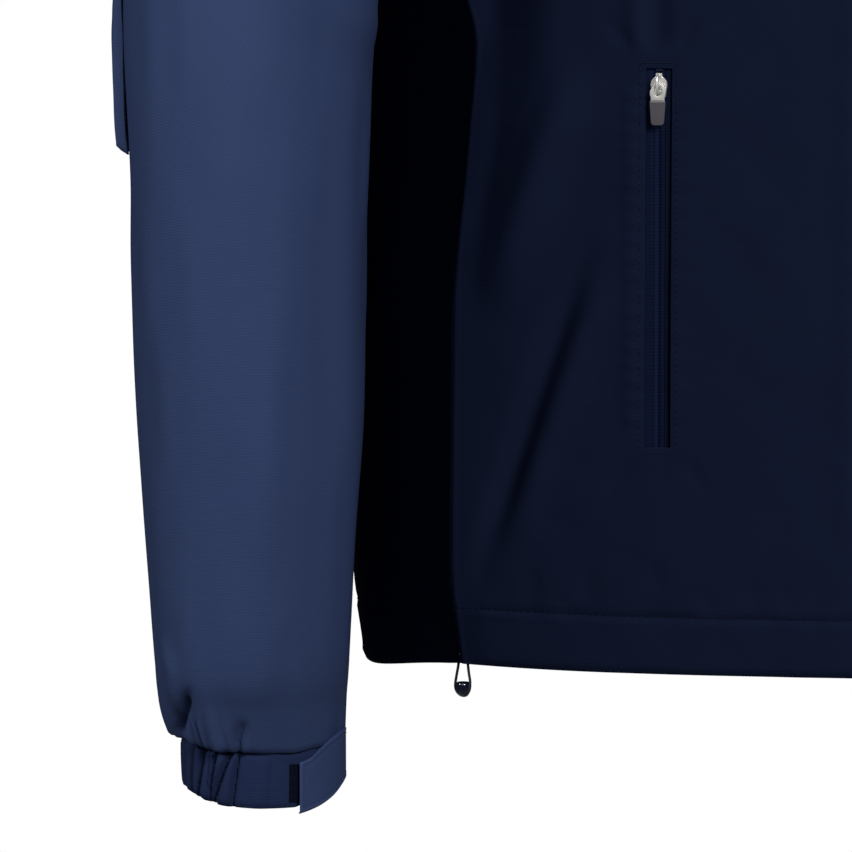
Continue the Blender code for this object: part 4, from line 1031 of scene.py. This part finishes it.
piece("collar_cloth", CO, M_DARK, "jacket", ("collar_outer",), centre=rc)
def in_d(psi, v):
    t = np.clip((psi - 25) / 35, 0, 1)
    return .0080 + .0080 * t * t * (3 - 2 * t) - .004 * ss((v - .9) / .1)
piece("collar_lining_cloth", collar_grid(.12, .985, 22, 111, 19, in_d), M_LINING, "jacket", ("collar_lining",), centre=rc)
tape_d = lambda psi, v: .0026 + .0034 * ss(-v / .10) + 0 * psi
piece("neck_seam_tape", collar_grid(-.11, .13, 34, 121, 11, tape_d), M_DARK, "jacket", (), t=.0007, centre=rc)
U, V = np.meshgrid(np.linspace(0, 1, 91), np.linspace(0, 1, 17))
psi = 180 - 100 * np.abs(U - .5) * 2
HP = collar(psi, .17 + .63 * V, .0036 + 0 * psi, np.where(U >= .5, 1.0, -1.0))
hood = piece("rolled_hood", HP, M_DARK, "jacket", ("stowed_hood",), t=.0088, centre=rc, declare=False)
ct = CO[-3]
rider(stitches("collar_top_stitching", CO[33, 3:-3], (CO - rc(CO))[33, 3:-3], M_THREAD, .0030, .0011), "jacket")

# neck facing, hang loop, storm flap, chin guard
def flat_grid(x0, x1, h0, h1, y, nx, nh, wave=0.0, seed=0):
    X, H = np.meshgrid(np.linspace(x0, x1, nx), np.linspace(h0, h1, nh))
    Y = y + wave * vnoise(np.stack([X, X * 0, H], -1), 30, seed) * ss((H - h0) / .02) * ss((h1 - H) / .02)
    return np.stack([X, Y, H], -1)
ahead = lambda P: P + np.array([0, .1, 0])
piece("neck_facing_cloth", flat_grid(-.040, .040, .590, .664, .0325, 24, 22, .0004, 3), M_DARK, "jacket", ("neck_facing",), centre=ahead)
piece("storm_flap_cloth", flat_grid(-.020, .024, .003, .640, FRONT_Y + .0064, 12, 150, .0008, 4), M_DARK, "jacket", ("inner_storm_flap",), centre=ahead)
piece("chin_guard_cloth", flat_grid(-.0200, .0215, .6420, .6985, FRONT_Y + .0058, 16, 20, .0003, 5), M_LINING, "jacket", ("chin_guard",), t=.0014, centre=ahead)
a = np.linspace(-1, 1, 61)
lp = []
for q in np.linspace(0, 1, 61):
    s_ = q * (2 * .0165 + .060)
    if s_ < .0150:
        lp.append((-.0293, .6360 + s_))
    elif s_ > .0930 - .0150:
        lp.append((.0293, .6360 + (.0930 - s_)))
    else:
        lp.append((-.0293 + (s_ - .0150) / .063 * .0586, .6527 + .0002 * math.sin(q * 3.14)))
lp = np.array(lp)
HL = np.stack([np.stack([lp[:, 0], np.full(len(lp), .0275 + yy), lp[:, 1]], -1) for yy in np.linspace(-.004, .004, 9)])
piece("hang_loop_strap", HL, M_TAPE, "jacket", ("hang_loop",), t=.0010, centre=lambda P: P * 0 + np.array([0, .0275, .60]))

# ------------------------------------------------------------------ hem tunnel, drawcord, lining
def level_ring(h_list, phi0, phi1, n, d):
    """Rows of the body form moved inwards by d, from one front edge round the back to the other."""
    ph = np.concatenate([np.linspace(phi0, phi1, n)])
    rows = []
    for h in h_list:
        C = torso(ph, np.full_like(ph, h))
        t = np.gradient(C, axis=0)
        nrm = np.stack([t[:, 1], -t[:, 0], t[:, 0] * 0], -1)
        nrm /= np.linalg.norm(nrm, axis=1, keepdims=True)
        m = C - nrm * d * (1 if nrm[5] @ (C[5] - np.array([0, -.01, h])) > 0 else -1)
        rows.append(np.concatenate([flipx(m, -1), m[::-1][1:]]))
    return np.array(rows)
TU = level_ring(np.linspace(.0035, .0270, 8), 9.5, 179.99, 150, .0082)
TU = TU + normals_of(TU) * (.0004 * vnoise(TU * np.array([1, 1, .2]), 60, 61))[..., None]
piece("hem_tunnel_cloth", TU, M_DARK, "jacket", ("hem_tunnel",), t=.0008, centre=torso_centre)
LI = level_ring(np.linspace(.034, .398, 60), 12.5, 179.99, 120, .0190)
LI = LI + normals_of(LI) * (.0022 * vnoise(LI * np.array([1, 1, .5]), 14, 62) + .0008 * vnoise(LI, 42, 63))[..., None]
piece("lining_cloth", LI, M_LINING, "jacket", ("body_lining",), t=.0009, centre=torso_centre)

# ------------------------------------------------------------------ hand pockets: zip, slider, pull, bag
def zip_frame(sx):
    def on(x, h):
        return np.array([sx * x, float(mid_y(h) - df(h) * (1 - (x / hw(h)) ** N_BODY) ** (1 / N_BODY)), h])
    p0, p1 = on(ZIP_X, ZIP_LOW), on(ZIP_X, ZIP_HIGH)
    up = (p1 - p0) / np.linalg.norm(p1 - p0)
    a = on(ZIP_X + .004, .2) - on(ZIP_X - .004, .2)
    across = np.array([1, sx * a[1] / .008, 0])
    across /= np.linalg.norm(across)
    inn = np.cross(up, across)
    inn = inn if inn[1] > 0 else -inn
    return p0, up, across, inn, float(np.linalg.norm(p1 - p0))

def local_matrix(c, across, inn, up):
    """Local x across, y into the jacket, z up, with the place given in the garment's own frame."""
    c = np.asarray(c) - ORIGIN
    return Matrix(((across[0], inn[0], up[0], c[0]), (across[1], inn[1], up[1], c[1]), (across[2], inn[2], up[2], c[2]), (0, 0, 0, 1)))

def extrude_outline(name, rings, y0, y1, mat, M, bevel=.00025, seg=2):
    """A flat plate with holes: rings[0] outer, the rest holes, as (x, z) loops, standing from y0 to y1."""
    bm = bmesh.new()
    edges = []
    for ring in rings:
        vs = [bm.verts.new((x, y0, z)) for x, z in ring]
        edges += [bm.edges.new((vs[k], vs[(k + 1) % len(vs)])) for k in range(len(vs))]
    res = bmesh.ops.triangle_fill(bm, use_beauty=True, edges=edges)
    faces = [g for g in res["geom"] if isinstance(g, bmesh.types.BMFace)]
    ext = bmesh.ops.extrude_face_region(bm, geom=faces)
    for v in [g for g in ext["geom"] if isinstance(g, bmesh.types.BMVert)]:
        v.co.y = y1
    bmesh.ops.recalc_face_normals(bm, faces=bm.faces)
    if bm.calc_volume(signed=True) < 0:
        bmesh.ops.reverse_faces(bm, faces=bm.faces)
    if bevel:
        sharp = [e for e in bm.edges if len(e.link_faces) == 2 and e.calc_face_angle() > math.radians(40)]
        bmesh.ops.bevel(bm, geom=sharp, offset=bevel, segments=seg, profile=.6, affect="EDGES", clamp_overlap=True)
    bm.transform(M)
    me = bpy.data.meshes.new(name)
    bm.to_mesh(me)
    bm.free()
    me.shade_smooth()
    me.set_sharp_from_angle(angle=math.radians(35))
    ob = bpy.data.objects.new(name, me)
    scene.collection.objects.link(ob)
    me.materials.append(mat)
    return ob

def circle(cx, cz, rx, rz, n=28, a0=0):
    return [(cx + rx * math.cos(a0 + 2 * math.pi * k / n), cz + rz * math.sin(a0 + 2 * math.pi * k / n)) for k in range(n)]

def zip_slider_parts(tag, M, s=1.0):
    """Slider body: a rounded plate with shoulders, a raised frame and the arched bail."""
    w, l = .0040 * s, .0062 * s
    half = [(w * .36, l), (w * .42, l * .70), (w * .70, l * .58), (w * .92, l * .38), (w * 1.0, l * .10), (w * .93, -l * .20), (w * .82, -l * .80), (w * .60, -l)]
    a = extrude_outline(tag + "_a", [half + [(-x, z) for x, z in half[::-1]]], -.0001, .0019, M_SILVER, M, .0004, 3)
    b = extrude_outline(tag + "_b", [[(-w * .34, l * .92), (w * .34, l * .92), (w * .34, l * .55), (-w * .34, l * .55)]], -.0003, .0004, M_SILVER, M, .0001, 1)
    pts = [(0, .0002, l * .80), (0, -.0008, l * .82), (0, -.0030, l * .86), (0, -.0043, l * .55), (0, -.0046, 0.0), (0, -.0042, -l * .40), (0, -.0026, -l * .56), (0, -.0008, -l * .56), (0, .0002, -l * .56)]
    P = [np.array(p) for p in pts]
    cur = []
    for i in range(len(P) - 1):
        p0, p1, p2, p3 = P[max(0, i - 1)], P[i], P[i + 1], P[min(len(P) - 1, i + 2)]
        for j in range(6):
            t = j / 6
            cur.append(.5 * ((2 * p1) + (p2 - p0) * t + (2 * p0 - 5 * p1 + 4 * p2 - p3) * t * t + (3 * p1 - p0 - 3 * p2 + p3) * t ** 3))
    cur.append(P[-1])
    c = tube_mesh(tag + "_c", np.array([np.array(M @ Vector(p)) for p in cur]) + ORIGIN, .00062 * s, M_SILVER, 8)
    back = extrude_outline(tag + "_d", [[(-w * .9, l * .9), (w * .9, l * .9), (w * .9, -l * .8), (-w * .9, -l * .8)]], .0055, .0064, M_SILVER, M, .0003, 2)
    post = extrude_outline(tag + "_e", [[(-.0004, .0050), (.0004, .0050), (.0004, .0006), (-.0004, .0006)]], .0015, .0058, M_SILVER, M, 0)
    return [a, b, c, back, post]

def pull_parts(tag, M, w, ring_r, z_ring, grip_top, grip_low, y0=-.00085, y1=.00085):
    """Puller: a metal eye that turns on the bail, a short neck and a moulded grip with a lighter rolled top edge."""
    k = ring_r / .0040
    foot = .0040 if k < 1.1 else .0049
    side = [(.0024 * math.cos(math.radians(q)), .0024 * math.sin(math.radians(q))) for q in range(80, 5, -10)]
    side += [(.0030, -.0003), (.0036 * k, -.0012), (.0038 * k, -.0024), (.0037 * k, -.0036), (w * .44, grip_top + .0014), (w * .44, grip_top - .0012)]
    ringl = [(-x, z) for x, z in side[::-1]] + [(0, .0024)] + side
    hole = circle(0, (.0012 - foot) / 2, .0016 * k, (.0012 + foot) / 2, 26)
    a = extrude_outline(tag + "_ring", [ringl, hole], y0 * .7, y1 * .7, M_SILVER, M, .00026, 2)
    g, n = [], 8
    half_t, half_l = w / 2, w * .41
    rad = .0011
    for k in range(n + 1):
        ang = math.pi * .5 * k / n
        g.append((half_t - rad + rad * math.cos(ang), grip_top - rad + rad * math.sin(ang)))
    for k in range(n + 1):
        ang = math.pi * .5 + math.pi * .5 * k / n
        g.append((-half_t + rad + rad * math.cos(ang), grip_top - rad + rad * math.sin(ang)))
    for k in range(n + 1):
        ang = math.pi + math.pi * .5 * k / n
        g.append((-half_l + rad * 1.4 + rad * 1.4 * math.cos(ang), grip_low + rad * 1.4 + rad * 1.4 * math.sin(ang)))
    for k in range(n + 1):
        ang = math.pi * 1.5 + math.pi * .5 * k / n
        g.append((half_l - rad * 1.4 + rad * 1.4 * math.cos(ang), grip_low + rad * 1.4 + rad * 1.4 * math.sin(ang)))
    b = extrude_outline(tag + "_grip", [g], y0, y1, M_GRIP, M, .00040, 3)
    lip = extrude_outline(tag + "_lip", [[(-half_t * .92, grip_top - .0002), (half_t * .92, grip_top - .0002), (half_t * .92, grip_top - .0011), (-half_t * .92, grip_top - .0011)]],
                          y0 * 1.18, y1 * 1.18, M_GRIP_L, M, .00020, 2)
    return [a, b, lip]

M_GRIP_L = object_noise_mat("grip_edge", (.17, .165, .18), .42, 0, .5, scale=2600, bump=.15, dist=.00005)
for tag, sx in (("right", -1), ("left", 1)):
    p0, up, across, inn, ln = zip_frame(sx)
    c = p0 + up * ln / 2
    y1, hl = .0012 + .0011, ln / 2 + .006
    nz = 520 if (sx < 0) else 60
    for side, name, q in ((-sx, "_tape_front", "pocket_tape_front"), (sx, "_tape_side", "pocket_tape_side")):
        xs_ = np.array([.00004, .0003, .0007, .0011, .0016, .0020, .0023, .0025, .0027, .0029, .0031, .0036, .0046, .0058, .0068, .0085, .0110, .0135])
        ys_ = np.array([.0002, .00005, -.00015, -.0002, -.00015, 0, .0001, .00045, .00060, .00045, .0001, .0001, .0001, .0001, .0001, .0001, .0001, .0001])
        z = np.linspace(-hl, hl, nz)
        X, Z = np.meshgrid(xs_, z)
        Yv = np.broadcast_to(ys_, X.shape) + .00010 * np.sin(Z * 2 * math.pi / .0014) * (X < .0024) + .00020 * vnoise(np.stack([X * 3, X * 0, Z], -1), 70, 71 + int(side))
        Pt = c + across * (X * side)[..., None] + inn * (y1 + Yv)[..., None] + up * Z[..., None]
        piece(tag + name + "_cloth", Pt, M_TAPE, "jacket", (tag + "_" + q,), t=.0006, centre=lambda P: P + inn * .05)
    frame["nodes"][tag + "_pocket_zip_coil"].data.materials.append(M_TEETH)
    pc = c + up * (ln / 2 - .0085)
    M = local_matrix(pc, across, inn, up)
    s_ob = join(tag + "_pocket_slider_body", zip_slider_parts(tag + "_ps", M))
    rider(s_ob, tag + "_pocket_slide_body", (tag + "_pocket_slider",))
    pv = pc - inn * .0026 - up * .0007
    M = local_matrix(pv, across, inn, up)
    p_ob = join(tag + "_pocket_pull_body", pull_parts(tag + "_pp", M, .0076, .0040, .0006, -.0060, -.0179))
    rider(p_ob, tag + "_pocket_pull_body", (tag + "_pocket_pull",))
    # end stop at the top of the zip
    rider(bmesh_box(tag + "_pocket_top_stop", (-.0018, .0012, ln / 2 - .0014), (.0018, .0022, ln / 2 - .0004), M_THREAD, .0003, 2, local_matrix(c, across, inn, up)), "jacket")
    # pouch behind the zip
    X, H = np.meshgrid(np.linspace(.031, .135, 30), np.linspace(.061, .304, 50))
    Y = mid_y(H) - df(H) * (1 - (X / hw(H)) ** N_BODY) ** (1 / N_BODY)
    e = np.minimum(np.minimum(X - .031, .135 - X), np.minimum(H - .061, .304 - H))
    Y = Y + .0068 + .0006 * (1 - ss(e / .006)) + .0004 * vnoise(np.stack([X, X * 0, H], -1), 40, 81)
    piece(tag + "_pocket_pouch", np.stack([X * sx, Y, H], -1), M_LINING, "jacket", (tag + "_pocket_bag",), t=.0075,
          centre=lambda P: P + np.array([0, .1, 0]), declare=False)

# ------------------------------------------------------------------ front zip
YT = FRONT_Y + .0024
for tag, sx in (("right", -1), ("left", 1)):
    X, H = np.meshgrid(np.array([.0016, .0022, .0034, .0048, .0056, .0080, .0105, .0130, .0160]), np.linspace(.0035, .688, 200))
    Y = YT + np.where(X < .0052, -.00015, .0001) + .00012 * vnoise(np.stack([X, X * 0, H], -1), 80, 91)
    piece(tag + "_zip_tape_cloth", np.stack([X * sx, Y, H], -1), M_TAPE, "jacket", (tag + "_front_zip_tape",), t=.0006,
          centre=lambda P: P + np.array([0, .1, 0]))
    bm = bmesh.new()
    pitch = .00262
    k = 0
    z = .0165 + (pitch / 2 if sx > 0 else 0)
    while z < .6850:
        mt = bmesh.ops.create_cube(bm, size=1.0)["verts"]
        for v in mt:
            near = v.co.x * sx < 0
            v.co = Vector((sx * (.0030 + v.co.x * sx * .0040) - (sx * .0003 if near else 0), YT - .00115 + v.co.y * (.0015 if near else .0017), z + v.co.z * (.0017 if near else .0012)))
        z += pitch
    bmesh.ops.bevel(bm, geom=list(bm.edges), offset=.00022, segments=1, profile=.6, affect="EDGES")
    for v in bm.verts:
        v.co -= Vector(ORIGIN)
    me = bpy.data.meshes.new(tag + "_teeth")
    bm.to_mesh(me)
    bm.free()
    me.materials.append(M_TEETH)
    ob = bpy.data.objects.new(tag + "_front_teeth_row", me)
    scene.collection.objects.link(ob)
    rider(ob, "jacket", (tag + "_front_zip_teeth",))
frame["nodes"]["front_zip_pin_box"].data.materials.append(M_TEETH)
SL = .668
ex, ey, ez = np.array([1.0, 0, 0]), np.array([0, 1.0, 0]), np.array([0, 0, 1.0])
M = local_matrix((0, YT - .0034, SL), ex, ey, ez)
rider(join("front_slider_body", zip_slider_parts("fs", M, 1.42)), "front_slider", ("front_zip_slider",))
M = local_matrix((0, YT - .0061, SL - .0018), ex, ey, ez)
rider(join("front_pull_body", pull_parts("fp", M, .0094, .0052, .0006, -.0078, -.0312)), "front_pull", ("front_zip_pull",))

# ------------------------------------------------------------------ hem cord
frame["nodes"]["hem_drawcord"].data.materials.append(M_CORD)
for tag, sx in (("right", -1), ("left", 1)):
    C = torso(np.array([seam_phi(0.0) - .3, seam_phi(0.0), seam_phi(0.0) + .3]), np.zeros(3))
    t = C[2] - C[0]
    n = np.array([t[1], -t[0], 0])
    n /= np.linalg.norm(n)
    if n @ C[1] < 0:
        n = -n
    base = C[1] - n * .0040
    tan = np.array([-.60, -.80, 0]) if abs(n[0]) > 2 else np.array([-n[1], n[0], 0])
    seam, tan = flipx(base, sx), flipx(tan, sx)
    if tan[0] < 0:
        tan = -tan
    # seen from the front the left strand is the longer one; both go round the cup and in under it
    key = [(-.0022, .0030), (-.0027, -.0020), (-.0037, -.0070), (-.0046, -.0112), (-.0044, -.0140), (-.0026, -.0160), (0, -.0166),
           (.0024, -.0158), (.0041, -.0130), (.0042, -.0092), (.0033, -.0055), (.0026, -.0015), (.0023, .0030)]
    K = [seam + tan * a + np.array([0, 0, z]) + n * np.array([sx, 1, 1]) * .0004 * math.sin(i) for i, (a, z) in enumerate(key)]
    path = []
    for i in range(len(K) - 1):
        q0, q1, q2, q3 = K[max(0, i - 1)], K[i], K[i + 1], K[min(len(K) - 1, i + 2)]
        for j in range(6):
            u = j / 6
            path.append(.5 * ((2 * q1) + (q2 - q0) * u + (2 * q0 - 5 * q1 + 4 * q2 - q3) * u * u + (3 * q1 - q0 - 3 * q2 + q3) * u ** 3))
    path.append(K[-1])
    path = np.array(path)
    ln = float(np.linalg.norm(np.diff(path, axis=0), axis=1).sum())
    loop = tube_mesh(tag + "_cord_loop", path, .00068, M_CORD, 12)
    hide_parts(tag + "_hem_cord_loop")
    # moulded cup
    prof = [(0, .0022), (.0012, .0022), (.0019, .0026), (.0024, .0033), (.0030, .0035), (.0034, .0031), (.00355, .0022), (.0035, .0008), (.0031, -.0010),
            (.0025, -.0022), (.0017, -.0030), (.0008, -.0034), (0, -.0035)]
    V, Fc, nseg = [], [], 32
    cz = seam + np.array([0, 0, -.0133])
    for r, z in prof:
        for k in range(nseg):
            a = 2 * math.pi * k / nseg
            V.append(cz + np.array([r * math.cos(a) + 1e-6 * math.cos(a), r * math.sin(a) + 1e-6 * math.sin(a), z]))
    for i in range(len(prof) - 1):
        for k in range(nseg):
            k2 = (k + 1) % nseg
            Fc.append((i * nseg + k2, i * nseg + k, (i + 1) * nseg + k, (i + 1) * nseg + k2))
    cup = make_mesh(tag + "_cord_cup", V, Fc, M_BEAD)
    rider(cup, tag + "_cord_end", (tag + "_hem_cord_end",))
    bm = bmesh.new()
    bm.from_mesh(cup.data)
    bmesh.ops.remove_doubles(bm, verts=bm.verts, dist=1e-5)
    bm.to_mesh(cup.data)
    bm.free()
    cup.data.shade_smooth()
    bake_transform(loop)
    SOFT.append((tag + "_cord_loop", ln, .00136, 0))
# the front lights wrap round the front and the sleeves; the back and the sides behind the sleeves stay in shade
front_lit = bpy.data.collections.new("lit_from_the_front")
scene.collection.children.link(front_lit)
for o in list(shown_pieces()):
    if o.name not in ("back_cloth", "back_hem_stitching"):
        front_lit.objects.link(o)
FRONT.light_linking.receiver_collection = front_lit
side_lit = bpy.data.collections.new("lit_from_the_side")
scene.collection.children.link(side_lit)
for o in front_lit.objects:
    if not (o.name.endswith("_front_cloth") or "_front_hem" in o.name):
        side_lit.objects.link(o)
for lamp in (KEY, FILL):
    lamp.light_linking.receiver_collection = side_lit
for row in SOFT:
    print("SOFT", row[0], *["%.4f" % q for q in row[1:]])
